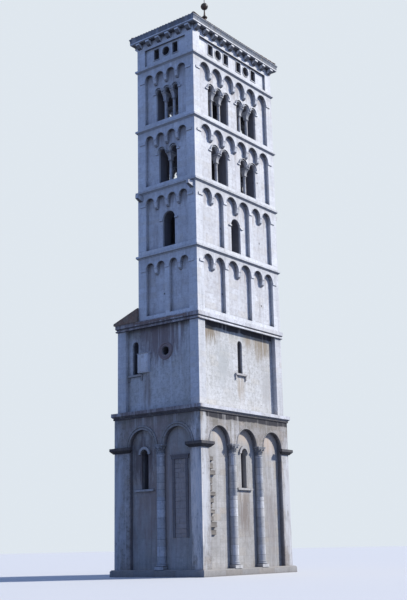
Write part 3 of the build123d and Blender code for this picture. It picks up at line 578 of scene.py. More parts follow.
column_marble = marble(
    "column_marble", (0.70, 0.70, 0.72), (0.42, 0.425, 0.44), (0.58, 0.53, 0.46), streaks=0.5,
    stains=0.85, stain_colour=(0.10, 0.10, 0.105), stain_top=7.6, stain_reach=0.75,
    stain_repeat=stain_once, course=0.52, block=40.0, joints=1.0, tone=1.0, inner_dirt_and_shade=0.0,
)
half_columns = make_piece("ground_half_columns", columns, column_marble)
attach(half_columns, "root")
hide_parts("half_columns")


# Imposts of the corner piers, and the arch mouldings on the two short sides of the ground
# storey. The mouldings are marble rings cut in three bands: a roll, a hollow and a flat face.
def arch_ring(radius, section, steps, sweep=math.pi):
    """A moulding turned round an arch. section is (distance from the radius, distance out) points."""
    ring = bmesh.new()
    verts = [ring.verts.new((radius + across, -out, 0)) for across, out in section]
    face = ring.faces.new(verts)
    geometry = [*verts, *face.edges]
    whole = sweep > math.pi
    if whole:
        ring.faces.remove(face)
    else:
        geometry.append(face)
    bmesh.ops.spin(
        ring, geom=geometry, cent=(0, 0, 0), axis=(0, -1, 0), dvec=(0, 0, 0), angle=sweep, steps=steps,
        use_merge=whole,
    )
    return ring


# Near-black marble, partly weathered dark and partly painted shade; on the ledge roll it makes a painted
# shadow line.
impost_and_shadow_marble = marble(
    "pier_impost_and_shadow_marble", (0.065, 0.065, 0.08), (0.035, 0.035, 0.05), (0.085, 0.07, 0.065),
    grime_and_shade=(0.02, 0.02, 0.025), streaks=0.6, stains=0.0, tops=0.0, undersides=0.95, inner_dirt_and_shade=0.0,
    course=4.0, block=1.4, joints=0.4,
)
clad(impost_and_shadow_marble, "pier_imposts")
# What makes a marble show no joints, for a piece that is cut from one block
one_block = {"course": 40.0, "block": 40.0, "joints": 0.0}
ring_section = (
    (0.0, -0.02), (0.0, 0.035), (0.085, 0.035), (0.092, 0.02), (0.12, 0.018), (0.138, 0.03),
    (0.142, 0.052), (0.16, 0.068), (0.2, 0.07), (0.235, 0.07), (0.25, 0.055), (0.25, -0.02),
)
# The mouldings have painted shade in their hollows and on their undersides, with grime.
moulding_marble = marble(
    "arch_moulding_marble", (0.40, 0.385, 0.38), (0.24, 0.225, 0.22), (0.36, 0.29, 0.23), dirt_and_shade_reach=0.1,
    streaks=0.6, mottle=0.6, hollows=1.0, undersides=0.75, stains=0.0, inner_dirt_and_shade=0.0, **one_block,
)
rings = bmesh.new()
arcade_depth = -0.14
springing = 7.6
front_arch_u = 1.6
rear_arch_u = -1.15
ring_places = [
    on_wall(side, base_back, hand * u, arcade_depth, springing)
    for side, hand in short_sides
    for u in (front_arch_u, rear_arch_u)
]
set_copies(rings, arch_ring(1.0, ring_section, 40), ring_places)
side_rings = make_piece("side_arch_mouldings", rings, moulding_marble)
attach(side_rings, "root")
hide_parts("side_archivolts")


# Roll along the edge of each ground arch on the long sides, worked on the arch stones
# themselves: a thin marble bead that catches the light.
bead_section = (
    (-0.004, -0.02), (-0.004, 0.012), (0.01, 0.03), (0.035, 0.034), (0.055, 0.02), (0.06, -0.02)
)
beads = bmesh.new()
long_side_bay = 2.75
bead_places = [
    on_wall(side, base_back, bay * long_side_bay, arcade_depth, springing)
    for side in ("front", "back")
    for bay in (-1, 0, 1)
]
set_copies(beads, arch_ring(1.0, bead_section, 40), bead_places)
arch_beads = make_piece("ground_arch_beads", beads, moulding_marble)
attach(arch_beads, "root")


# Walled-up doorway high in the front arch of each short side: a marble lintel and jambs a
# little proud of the wall, with smaller rough stones set between them.
rough_marble = marble(
    "rough_fill_stone", (0.47, 0.41, 0.385), (0.33, 0.29, 0.275), (0.46, 0.34, 0.27), hollows=0.7,
    stains=0.3, stain_top=6.9, stain_repeat=stain_once, joints=0.15, course=0.31, block=0.4,
)
doorways = bmesh.new()
frame_depth = 0.15
door_low = 2.2
door_high = 6.7
jamb_places = [
    on_wall(side, base_back, hand * u, frame_depth)
    for side, hand in short_sides
    for u in (front_arch_u - 0.5, front_arch_u + 0.5)
]
jamb_steps = ((0.09, -0.05, 0.03, door_low), (0.09, -0.05, 0.03, door_high))
set_copies(doorways, stacked(jamb_steps), jamb_places)
lintel_steps = raised(
    door_high, (0.66, -0.075, 0.03, 0), (0.66, -0.075, 0.03, 0.16), (0.7, -0.1, 0.03, 0.2),
    (0.7, -0.1, 0.03, 0.25),
)
lintel_places = [on_wall(side, base_back, hand * front_arch_u, frame_depth) for side, hand in short_sides]
set_copies(doorways, stacked(lintel_steps), lintel_places)
door_frames = make_piece("doorway_frames", doorways, arcade_marble)
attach(door_frames, "root")

filling = bmesh.new()
stone_chance = random.Random(14)
filling_half = 0.41
bed = 0.004
chamfer = 0.012
lowest_course = 0.15
shortest_stone = 0.12
for side, hand in short_sides:
    low = door_low
    while low < door_high - 0.01:
        high = low + stone_chance.uniform(0.2, 0.42)
        if high > door_high - lowest_course:
            high = door_high
        reach = -filling_half
        while reach < filling_half - 0.01:
            length = min(stone_chance.uniform(0.2, 0.55), filling_half - reach)
            if filling_half - reach - length < shortest_stone:
                length = filling_half - reach
            out = stone_chance.uniform(0.004, 0.02)
            half = length / 2 - bed
            bulge = (
                (half, 0.0, 0.02, low + bed), (half, -out, 0.02, low + bed + chamfer),
                (half, -out, 0.02, high - bed - chamfer), (half, 0.0, 0.02, high - bed),
            )
            stone_u = hand * front_arch_u + reach + length / 2
            place = on_wall(side, base_back, stone_u, frame_depth)
            set_copies(filling, stacked(bulge), [place])
            reach += length
        low = high
door_filling = make_piece("doorway_filling", filling, rough_marble)
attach(door_filling, "root")


# Toothing at the left of the first front arch: rough block ends left for a wall that was
# never joined on. They are bedded in the recess and stand out by a hand's breadth.
toothing = bmesh.new()
tooth_chance = random.Random(5)
recess_left = -3.74
tooth_z = 2.3
toothing_top = 6.6
while tooth_z < toothing_top:
    tooth_height = tooth_chance.uniform(0.24, 0.36)
    tooth_width = tooth_chance.choice((0.46, 0.58, 0.72))
    tooth_out = tooth_chance.uniform(0.07, 0.2)
    half = tooth_width / 2
    tooth_steps = (
        (half, 0.0, 0.03, tooth_z), (half - 0.01, -tooth_out, 0.03, tooth_z + 0.02),
        (half - 0.02, -tooth_out * 0.8, 0.03, tooth_z + tooth_height * 0.6),
        (half, -tooth_out * 0.9, 0.03, tooth_z + tooth_height - 0.05),
        (half, 0.0, 0.03, tooth_z + tooth_height - 0.02),
    )
    tooth_place = on_wall("front", base_back, recess_left + half, frame_depth)
    set_copies(toothing, stacked(tooth_steps), [tooth_place])
    tooth_z += tooth_height + tooth_chance.uniform(0.02, 0.14)
# The toothing stones get painted shade, with grime, in their hollows and under them.
tooth_marble = marble(
    "toothing_stone", (0.25, 0.22, 0.195), (0.13, 0.12, 0.115), (0.25, 0.18, 0.13), streaks=0.7,
    spots=0.8, hollows=0.9, undersides=0.9, stains=0.0, **one_block,
)
tooth_stones = make_piece("toothing_stones", toothing, tooth_marble)
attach(tooth_stones, "root")


# Ledge over the ground storey: long blocks of marble, washed pale on top, with near-black painted
# shade below, and a roll moulding bedded under its edge.
def run_round(mesh, section, back, half=half_width, front=front_y):
    """Runs a closed section of (distance out, height) points round all four sides, mitred."""
    middle = (front + back) / 2
    verts = [mesh.verts.new((-half - out, front - out, height)) for out, height in section]
    edges = [mesh.edges.new(pair) for pair in zip(verts, verts[1:] + verts[:1])]
    about_middle = Matrix.Translation((0, -middle, 0))
    for turn in ((-1, 1, 1), (1, -1, 1), (-1, 1, 1), (1, -1, 1)):
        grown = bmesh.ops.extrude_edge_only(mesh, edges=edges)["geom"]
        edges = [item for item in grown if isinstance(item, bmesh.types.BMEdge) and item.is_boundary]
        moved = [item for item in grown if isinstance(item, bmesh.types.BMVert)]
        bmesh.ops.scale(mesh, vec=turn, space=about_middle, verts=moved)
    bmesh.ops.remove_doubles(mesh, verts=mesh.verts, dist=0.0001)


# The courses on the left side, which faces away from the sun, are darkened with painted shade.
left_course_shade_marks = (
    ((-4.85, -0.1, 15.2), (1.1, 9.0, 3.0), (0.17, 0.13, 0.125), 0.95),
    ((-5.0, -0.1, 9.55), (1.1, 9.0, 3.0), (0.17, 0.14, 0.14), 0.95),
)
ledge_marble = marble(
    "ledge_marble", (0.80, 0.80, 0.83), (0.52, 0.52, 0.55), (0.60, 0.56, 0.50), grime_and_shade=(0.03, 0.03, 0.04),
    streaks=0.35, spots=0.15, hollows=0.3, stains=0.0, tops=0.0, undersides=0.97, patches=0.3,
    inner_dirt_and_shade=0.0, course=4.0, block=1.1, joints=0.7, marks=left_course_shade_marks,
)
clad(ledge_marble, "ledge", "base_string")
ledge_z = 9.42
roll_section = raised(
    ledge_z, (0.13, 0.005), (0.13, -0.08), (0.18, -0.085), (0.2, -0.06), (0.205, -0.03), (0.195, 0.01)
)
ledge_roll = bmesh.new()
run_round(ledge_roll, roll_section, base_back)
ledge_moulding = make_piece("ledge_roll", ledge_roll, impost_and_shadow_marble)
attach(ledge_moulding, "root")


# Upper storey of the base: smooth ashlar, streaked grey by rain and brown below the string
# course, with a near-black painted shadow under the string course and painted shade in the slit
# reveals, between wide corner pilasters.
upper_marks = (
    ((-3.0, -2.95, 14.5), (1.5, 0.6, 1.5), (0.24, 0.185, 0.125), 0.9),
    ((2.6, -2.95, 14.2), (2.1, 0.6, 1.7), (0.27, 0.215, 0.15), 0.85),
    ((1.0, -2.95, 14.4), (0.7, 0.6, 1.1), (0.34, 0.28, 0.21), 0.8),
    ((0.15, -2.95, 11.2), (0.6, 0.6, 1.7), (0.42, 0.36, 0.29), 0.8),
    ((-1.6, -2.95, 12.6), (1.4, 0.6, 2.4), (0.46, 0.47, 0.46), 0.7),
    ((3.0, -2.95, 11.6), (1.2, 0.6, 2.6), (0.46, 0.45, 0.44), 0.7),
    ((-4.1, -0.1, 14.2), (0.9, 3.4, 2.6), (0.21, 0.165, 0.17), 0.9),
    ((-4.1, 1.1, 10.9), (0.6, 0.6, 2.0), (0.25, 0.20, 0.17), 0.85),
    ((-4.1, -1.55, 14.5), (0.4, 0.16, 1.2), (0.78, 0.78, 0.78), 0.9),
    ((4.1, 0.0, 13.9), (0.8, 2.2, 1.6), (0.36, 0.31, 0.28), 0.7),
    ((0.0, 2.95, 13.9), (2.6, 0.8, 1.6), (0.36, 0.32, 0.28), 0.7),
)
upper_marble = marble(
    "upper_storey_marble", (0.74, 0.74, 0.74), (0.57, 0.56, 0.54), (0.66, 0.60, 0.50), tone=0.45,
    streaks=0.35, lime=0.4, mottle=0.5, spots=0.6, shadow_band=(15.05, 0.42, 0.95, (0.025, 0.025, 0.04)),
    stains=0.6, stain_colour=(0.33, 0.32, 0.29), stain_top=15.05, stain_reach=1.6,
    stain_repeat=stain_once, joints=0.2, patches=0.6, inner=(4.04, 2.89, 0.0), marks=upper_marks,
)
clad(upper_marble, "upper_long_walls", "upper_short_walls")
pilaster_marble = marble(
    "pilaster_marble", (0.76, 0.76, 0.77), (0.60, 0.60, 0.61), (0.68, 0.62, 0.53), streaks=0.5, spots=0.4,
    stains=0.4, stain_colour=(0.33, 0.33, 0.33), stain_top=15.05, stain_reach=0.9,
    stain_repeat=stain_once, joints=0.25, patches=0.4, inner_dirt_and_shade=0.0,
)
clad(pilaster_marble, "corner_pilasters", "bearing_arch")
# The trims have painted shade on their undersides.
trim_marble = marble(
    "slit_trim_marble", (0.54, 0.52, 0.51), (0.35, 0.33, 0.32), (0.46, 0.39, 0.33), dirt_and_shade_reach=0.2,
    streaks=0.6, stains=0.0, undersides=0.85, inner_dirt_and_shade=0.0, **one_block,
)
clad(trim_marble, "slit_trims")


# Oculus on each short side: a turned ring of pinkish marble, with a roll round a hollow.
# It is one section spun all the way round, and its back edge is let into the wall.
pink_marble = marble(
    "pink_marble", (0.34, 0.265, 0.265), (0.22, 0.185, 0.195), (0.38, 0.27, 0.235), dirt_and_shade_reach=0.1,
    hollows=0.9, stains=0.0, streaks=0.4, **one_block,
)
oculus_section = (
    (0.04, -0.02), (0.04, 0.03), (0.09, 0.012), (0.13, 0.012), (0.16, 0.035), (0.175, 0.06),
    (0.205, 0.07), (0.24, 0.06), (0.25, 0.035), (0.285, 0.03), (0.29, -0.02),
)
oculi = bmesh.new()
oculus_u = 0.43
oculus_depth = 0.3
oculus_z = 13.33
oculus_places = [
    on_wall(side, base_back, hand * oculus_u, oculus_depth, oculus_z) for side, hand in short_sides
]
set_copies(oculi, arch_ring(0.27, oculus_section, 48, math.tau), oculus_places)
oculus_mouldings = make_piece("oculus_mouldings", oculi, pink_marble)
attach(oculus_mouldings, "root")
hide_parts("oculus_rings")


# Metal box on the left wall: a painted steel cabinet with a door on two hinges, a latch,
# vent slots and a sloped rain hood.
def ease_edges(shape, radius):
    """Rounds all the edges of a shape."""
    bmesh.ops.bevel(
        shape, geom=shape.edges[:], offset=radius, affect="EDGES", segments=2, profile=0.5, material=-1
    )


box_paint, paint_tree, paint_inputs = new_finish("box_paint")
wear = use_group(paint_tree, weather)
grime_and_shade = use_group(paint_tree, soot_and_shade, reach=0.08)
paint = coat(paint_tree, wear["Patches"], (0.74, 0.76, 0.79), (0.63, 0.65, 0.68))
paint = wash(paint_tree, paint, fade(paint_tree, wear["Grain"], 0.52, 0.7), 0.35, (0.30, 0.17, 0.09))
paint = wash(paint_tree, paint, wear["Drips"], 0.3, (0.33, 0.31, 0.28))
# Painted shade in the hollows of the box.
paint = wash(paint_tree, paint, grime_and_shade["Hollows"], 0.8, (0.10, 0.09, 0.08))
paint_rough = reckon(paint_tree, "MULTIPLY_ADD", wear["Grain"], 0.3, 0.3)
dress(paint_tree, paint_inputs, paint, paint_rough, wear["Grain"], 0.15, 0.003)
clad(box_paint, "wall_box")
cabinet = bmesh.new()
box_u = -1.225
box_front = 0.05
box_middle_z = 12.75
door_out = 0.016
door = stacked(((0.37, -door_out, 0.0, -0.53), (0.37, -door_out, 0.0, 0.53)))
ease_edges(door, 0.006)
set_copies(cabinet, door, [on_wall("left", base_back, box_u, box_front, box_middle_z)])
hinge = turned(((0, -0.07), (0.014, -0.07), (0.014, 0.07), (0, 0.07)), 12)
hinge_u = box_u - 0.375
hinge_places = [
    on_wall("left", base_back, hinge_u, box_front - door_out, box_middle_z + z) for z in (-0.36, 0.36)
]
set_copies(cabinet, hinge, hinge_places)
latch = stacked(((0.016, -0.045, -0.01, -0.06), (0.016, -0.045, -0.01, 0.06)))
ease_edges(latch, 0.005)
set_copies(cabinet, latch, [on_wall("left", base_back, box_u + 0.31, box_front, box_middle_z)])
hood_z = 13.345
hood_steps = raised(
    hood_z, (0.455, -0.05, 0.25, 0), (0.455, -0.05, 0.25, 0.015), (0.44, 0.22, 0.25, 0.075)
)
set_copies(cabinet, stacked(hood_steps), [on_wall("left", base_back, box_u, box_front)])
vent = stacked(((0.12, -0.02, 0.0, -0.006), (0.12, -0.028, 0.0, 0.006)))
vent_z = 13.08
vent_pitch = 0.035
vent_places = [on_wall("left", base_back, box_u, box_front, vent_z + vent_pitch * i) for i in range(5)]
set_copies(cabinet, vent, vent_places)
box_fittings = make_piece("wall_box_fittings", cabinet, box_paint)
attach(box_fittings, "root")


# String course over the base: a deep marble band with a roll under it, and on the left a
# strip of old reddish mortar where a roof was once flashed in.
base_string_z = 15.05
string_roll = raised(
    base_string_z, (-0.02, 0.005), (-0.02, -0.16), (0.055, -0.16), (0.095, -0.14), (0.11, -0.1),
    (0.095, -0.06), (0.05, -0.04), (0.045, 0.005),
)
base_rolls = bmesh.new()
run_round(base_rolls, string_roll, base_back)
base_string_rolls = make_piece("base_string_roll", base_rolls, ledge_marble)
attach(base_string_rolls, "root")
mortar = marble(
    "old_mortar", (0.33, 0.235, 0.21), (0.22, 0.165, 0.155), (0.38, 0.28, 0.23), stains=0.0, course=0.09,
    block=0.25,
)
mortar_strip = bmesh.new()
mortar_chance = random.Random(3)
strip_u = -1.75
strip_end = 2.3
strip_low = 15.19
string_face = -0.12
while strip_u < strip_end:
    piece_length = mortar_chance.uniform(0.4, 0.9)
    half = piece_length / 2
    lump_steps = (
        (half, -0.012, 0.02, strip_low + mortar_chance.uniform(0, 0.03)),
        (half - 0.01, -0.02, 0.02, strip_low + 0.05),
        (half - 0.015, -0.01, 0.02, strip_low + 0.09 + mortar_chance.uniform(0, 0.03)),
    )
    lump_place = on_wall("left", base_back, strip_u + half, string_face)
    set_copies(mortar_strip, stacked(lump_steps), [lump_place])
    strip_u += piece_length + mortar_chance.uniform(0.0, 0.03)
flashing = make_piece("old_flashing_mortar", mortar_strip, mortar)
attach(flashing, "root")


# Shaft: four tiers of white marble. The walls between the lesenes are a little greyer than
# the lesenes, hanging arches and imposts, which are dressed finer.
# The hollows, the undersides and the window reveals of the shaft get painted shade, with grime.
field_marble = marble(
    "field_marble", (0.80, 0.805, 0.82), (0.58, 0.58, 0.595), (0.69, 0.64, 0.56), tone=0.5, streaks=0.5,
    lime=0.3, mottle=0.3, spots=0.4, stains=0.55, stain_colour=(0.31, 0.27, 0.255), stain_reach=2.0,
    joints=0.2, hollows=0.8, patches=0.5, scaffold_holes=0.9,
)
dressed_look = {
    "pale": (0.86, 0.865, 0.88), "grey": (0.65, 0.655, 0.67), "warm": (0.75, 0.705, 0.63),
    "streaks": 0.45, "spots": 0.4, "stains": 0.4, "stain_colour": (0.36, 0.35, 0.35), "joints": 0.22,
    "hollows": 0.88, "undersides": 0.88, "patches": 0.45,
}
dressed_marble = marble("dressed_marble", **dressed_look)
for tier in (1, 2, 3, 4):
    clad(field_marble, f"tier_{tier}_long_walls", f"tier_{tier}_short_walls")
    clad(dressed_marble, f"tier_{tier}_arcade")
clad(dressed_marble, "lesene_imposts", "jamb_imposts", "corner_stones")


# Hanging arches: a bead worked round each arch, and a small moulded cap on each corbel
# between them, all of dressed marble.
relief = 0.22
springing_drop = 0.74
string_heights = (19.39, 23.68, 27.95, 32.26)
three_bays = ((-2.645, 2.15, 2), (0, 2.46, 2), (2.645, 2.15, 2))
two_bays = ((-0.9425, 1.545, 2), (0.9425, 1.545, 2))
long_bay = ((0, 7.44, 6),)
short_bay = ((0, 3.43, 4),)
tier_bays = (
    (three_bays, two_bays), (three_bays, short_bay), (long_bay, short_bay), (long_bay, short_bay)
)
hanging_section = (
    (-0.003, -0.02), (-0.003, 0.01), (0.008, 0.022), (0.03, 0.024), (0.045, 0.012), (0.05, -0.02)
)
arch_beads_shaft = bmesh.new()
corbel_caps = bmesh.new()
for string_z, (long_bays, short_bays) in zip(string_heights, tier_bays):
    arch_z = string_z - springing_drop
    for side in all_sides:
        is_long = side in ("front", "back")
        corbel = 0.24 if is_long else 0.2
        for u, width, arches in long_bays if is_long else short_bays:
            arch_width = (width - (arches - 1) * corbel) / arches
            pitch = arch_width + corbel
            centres = [u + (i - (arches - 1) / 2) * pitch for i in range(arches)]
            bead = arch_ring(arch_width / 2, hanging_section, 20)
            set_copies(arch_beads_shaft, bead, [on_wall(side, shaft_back, c, 0, arch_z) for c in centres])
            half_cap = corbel / 2
            cap_steps = raised(
                arch_z, (half_cap + 0.004, -0.006, 0.2, -0.15), (half_cap + 0.012, -0.02, 0.2, -0.125),
                (half_cap + 0.014, -0.022, 0.2, -0.1), (half_cap + 0.006, -0.012, 0.2, -0.085),
                (half_cap + 0.01, -0.02, 0.2, -0.07), (half_cap + 0.03, -0.045, 0.2, -0.035),
                (half_cap + 0.03, -0.045, 0.2, 0),
            )
            spots = [(a + b) / 2 for a, b in zip(centres, centres[1:])]
            cap_places = [on_wall(side, shaft_back, c) for c in spots]
            set_copies(corbel_caps, stacked(cap_steps), cap_places)
hanging_beads = make_piece("hanging_arch_beads", arch_beads_shaft, dressed_marble)
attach(hanging_beads, "root")
hanging_caps = make_piece("hanging_corbel_caps", corbel_caps, dressed_marble)
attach(hanging_caps, "root")


# Windows: turned marble shafts between the lights, each on a moulded base, with a small
# capital and a crutch block that carries the full thickness of the wall.
window_rows = {
    3: (24.13, 26.27, 2, ((-1.56, 1.56), 1.06, 0.70), ((0,), 0.95, 0.55)),
    4: (28.40, 30.50, 3, ((-1.56, 1.56), 0.83, 0.52), ((0,), 0.70, 0.44)),
}
shaft_axis = relief + 0.3
wall_inside = relief + 0.8
foot_height = 0.045
neck_drop = 0.56
hood_section = (
    (0.0, -0.02), (0.0, 0.04), (0.03, 0.045), (0.04, 0.02), (0.06, 0.02), (0.07, 0.075), (0.09, 0.1),
    (0.115, 0.09), (0.125, 0.055), (0.125, -0.02),
)
# The hoods have painted shade on their undersides and in their hollows.
hood_marble = marble(
    "hood_marble", (0.80, 0.80, 0.81), (0.66, 0.66, 0.67), (0.70, 0.655, 0.58), stains=0.0, joints=0.0,
    dirt_and_shade_reach=0.12, hollows=1.0, undersides=0.95, inner_dirt_and_shade=0.0,
)
for tier, (sill, arch_z, lights, long_window, short_window) in window_rows.items():
    neck = arch_z - neck_drop
    colonnettes = bmesh.new()
    hoods = bmesh.new()
    for side in all_sides:
        places, pitch, width = long_window if side in ("front", "back") else short_window
        gap = (pitch - width) / 2
        foot_profile = raised(
            sill, (0, foot_height), (0.125, foot_height), (0.136, 0.06), (0.134, 0.08), (0.118, 0.088),
            (0.112, 0.1), (0.122, 0.112), (0.12, 0.13), (0.104, 0.142), (0.105, 0.6),
        )
        neck_profile = raised(
            neck, (0.098, -0.18), (0.1, -0.165), (0.116, -0.155), (0.116, -0.135), (0.098, -0.125),
            (0.096, -0.06), (0.125, -0.01), (0, -0.01),
        )
        colonnette = turned(foot_profile + neck_profile, 20)
        foot = stacked(((0.14, -0.14, 0.14, sill), (0.14, -0.14, 0.14, sill + foot_height)))
        set_copies(colonnette, foot, [Matrix()])
        leaf = curled_leaf(0.085, 0.12, 0.035, 0.1)
        set_copies(colonnette, leaf, leaf_ring(6, neck - 0.128, 30))
        front_reach = 0.3
        back_reach = wall_inside - shaft_axis
        crutch_steps = raised(
            neck, (0.13, -0.13, 0.13, -0.02), (0.138, -0.138, 0.138, 0.01), (0.138, -0.138, 0.138, 0.035),
            (0.11, -0.115, 0.115, 0.05), (0.115, -0.125, 0.13, 0.14), (min(gap, 0.13), -0.16, 0.2, 0.26),
            (min(gap, 0.15), -0.215, 0.32, 0.36),
            (gap - 0.004, -front_reach + 0.02, back_reach - 0.03, 0.45),
            (gap + 0.012, -front_reach - 0.012, back_reach, 0.475),
            (gap + 0.012, -front_reach - 0.012, back_reach, neck_drop),
        )
        set_copies(colonnette, stacked(crutch_steps), [Matrix()])
        spots = [p + (i - (lights - 2) / 2) * pitch for p in places for i in range(lights - 1)]
        set_copies(colonnettes, colonnette, [on_wall(side, shaft_back, u, shaft_axis) for u in spots])
        light_spots = [p + (i - (lights - 1) / 2) * pitch for p in places for i in range(lights)]
        hood = arch_ring(width / 2, hood_section, 24)
        set_copies(hoods, hood, [on_wall(side, shaft_back, u, relief, arch_z) for u in light_spots])
    window_shafts = make_piece(f"tier_{tier}_window_shafts", colonnettes, column_marble)
    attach(window_shafts, "root")
    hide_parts(f"tier_{tier}_colonnettes")
    window_hoods = make_piece(f"tier_{tier}_window_hoods", hoods, hood_marble)
    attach(window_hoods, "root")
    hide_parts(f"tier_{tier}_hoods")


# String courses of the shaft: pale slabs with painted shade on the underside, and a small roll below.
# The rolls are one section run round all four sides, mitred at the corners.
string_marble = marble(
    "string_marble", (0.76, 0.765, 0.78), (0.60, 0.605, 0.62), (0.64, 0.59, 0.51), streaks=0.4,
    stains=0.0, hollows=0.3, tops=0.2, undersides=0.7, inner_dirt_and_shade=0.0, course=4.0, block=1.2, joints=0.6,
)
string_rolls = bmesh.new()
for number, string_z in enumerate(string_heights, 1):
    clad(string_marble, f"string_{number}")
    section = raised(
        string_z, (-0.02, 0.005), (-0.02, -0.035), (0.016, -0.035), (0.03, -0.024), (0.034, -0.008),
        (0.03, 0.005),
    )
    run_round(string_rolls, section, shaft_back)
rolls = make_piece("string_rolls", string_rolls, string_marble)
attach(rolls, "root")


# Floors behind the window rows: rough stone slabs, dusty and in the dark.
# Only their marble is made here.
floor_marble = marble(
    "floor_slabs", (0.34, 0.32, 0.30), (0.22, 0.21, 0.20), (0.33, 0.28, 0.22), stains=0.0, course=0.6,
    block=0.9,
)
clad(floor_marble, "tier_floors")


# Attic: a sunk panel on each side with small oblong and round openings, each with a thin
# raised edge cut from the same marble.
# The attic openings' reveals get painted shade.
attic_marble = marble("attic_marble", inner=(4.235, 2.2, -0.885), **dressed_look)
clad(dressed_marble, "attic_frame")
clad(attic_marble, "attic_long_walls", "attic_short_walls")
attic_z = 33.25
attic_sunk = 0.14
rect_half_height = 0.36
attic_edges = bmesh.new()
edge_section = ((0.0, -0.02), (0.0, 0.02), (0.012, 0.034), (0.05, 0.034), (0.06, 0.02), (0.06, -0.02))
for side in all_sides:
    is_long = side in ("front", "back")
    places = (-1.56, 1.56) if is_long else (0,)
    circle, half_rect, rect_pitch = (0.33, 0.25, 0.85) if is_long else (0.30, 0.215, 0.79)
    round_edge = arch_ring(circle, edge_section, 32, math.tau)
    set_copies(
        attic_edges, round_edge, [on_wall(side, shaft_back, u, attic_sunk, attic_z) for u in places]
    )
    oblong_edge = bmesh.new()
    run_round(oblong_edge, edge_section, rect_half_height, half_rect, -rect_half_height)
    upright = Matrix.Rotation(math.radians(90), 4, "X")
    rect_places = [
        on_wall(side, shaft_back, u + shift, attic_sunk, attic_z) @ upright
        for u in places
        for shift in (-rect_pitch, rect_pitch)
    ]
    set_copies(attic_edges, oblong_edge, rect_places)
opening_edges = make_piece("attic_opening_edges", attic_edges, dressed_marble)
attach(opening_edges, "root")


# Cornice: pale brackets and bed course under a deep fascia that rain has turned dark grey,
# worked with a flat band, a cyma and a top fillet.
# Painted shade, with grime, between the brackets and under them and the bed course.
bracket_marble = marble(
    "bracket_marble", (0.86, 0.86, 0.86), (0.62, 0.62, 0.63), (0.62, 0.56, 0.48),
    grime_and_shade=(0.04, 0.04, 0.05), streaks=0.35, stains=0.0, dirt_and_shade_reach=0.2, hollows=0.95, undersides=0.93,
    inner_dirt_and_shade=0.0, **one_block,
)
clad(bracket_marble, "cornice_corbels", "bed_course")
fascia_marble = marble(
    "fascia_marble", (0.24, 0.275, 0.33), (0.12, 0.14, 0.175), (0.20, 0.195, 0.20), streaks=0.7,
    lime=0.25, stains=0.0, tops=0.2, undersides=0.6, course=4.0, block=1.3, joints=0.8,
)
clad(fascia_marble, "cornice")
cornice_z = 34.45
cornice_section = raised(
    cornice_z, (-1.02, 0), (0.35, 0), (0.362, 0.012), (0.362, 0.035), (0.352, 0.045), (0.352, 0.16),
    (0.358, 0.17), (0.362, 0.2), (0.374, 0.23), (0.392, 0.25), (0.4, 0.265), (0.4, 0.33), (-1.02, 0.33),
)
cornice_ring = bmesh.new()
run_round(cornice_ring, cornice_section, shaft_back)
cornice_moulding = make_piece("cornice_moulding", cornice_ring, fascia_marble)
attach(cornice_moulding, "root")
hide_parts("cornice")


# Roof coverings: half-round clay tiles in courses over the low hipped roof and the lean-to,
# each slope cut at its hips and its top, with larger tiles along the hips.
tile_clay, clay_tree, clay_inputs = new_finish("tile_clay")
wear = use_group(clay_tree, weather)
grime_and_shade = use_group(clay_tree, soot_and_shade, reach=0.12)
firing = wire(clay_tree, "TexVoronoi", "Color", {"Vector": stone_spot(clay_tree), "Scale": 3.3})
firing = wire(clay_tree, "SeparateColor", "Red", {"Color": firing})
lichen = reckon(clay_tree, "MULTIPLY", wear["Patches"], fade(clay_tree, wear["Grain"], 0.45, 0.6))
clay = coat(clay_tree, firing, (0.22, 0.135, 0.10), (0.13, 0.09, 0.075))
clay = wash(clay_tree, clay, fade(clay_tree, firing, 0.7, 0.95), 0.6, (0.28, 0.20, 0.155))
clay = wash(clay_tree, clay, lichen, 0.6, (0.33, 0.31, 0.24))
clay = wash(clay_tree, clay, wear["Streaks"], 0.4, (0.14, 0.09, 0.07))
# Painted shade in the hollows between the tiles.
clay = wash(clay_tree, clay, grime_and_shade["Hollows"], 0.85, (0.07, 0.05, 0.04))
clay_rough = reckon(clay_tree, "MULTIPLY_ADD", wear["Grain"], 0.2, 0.72)
dress(clay_tree, clay_inputs, clay, clay_rough, wear["Grain"], 0.4, 0.004)
clad(tile_clay, "roof", "lean_to_roof")


def clay_tile(radius, length):
    """A half-round tile along Y, narrower at its upper end, which lies under the next."""
    tile = bmesh.new()
    facets = 6
    angles = [math.pi * i / facets for i in range(facets + 1)]
    verts = [tile.verts.new((radius * math.cos(a), 0, radius * math.sin(a))) for a in angles]
    end = tile.faces.new(verts)
    grown = bmesh.ops.extrude_face_region(tile, geom=[end, *end.edges, *end.verts])["geom"]
    far = [item for item in grown if isinstance(item, bmesh.types.BMVert)]
    bmesh.ops.scale(tile, vec=(0.82, 1, 0.8), verts=far)
    bmesh.ops.scale(tile, vec=(1, 1, 0.72), verts=tile.verts)
    bmesh.ops.translate(tile, vec=(0, length, 0), verts=far)
    return tile


tile_radius = 0.088
tile_spacing = 0.24
tile_step = 0.36
tile_length = 0.43
tile_setback = 0.1
tile_bed = 0.022
tile_tip = math.radians(2.5)
tile_chance = random.Random(8)


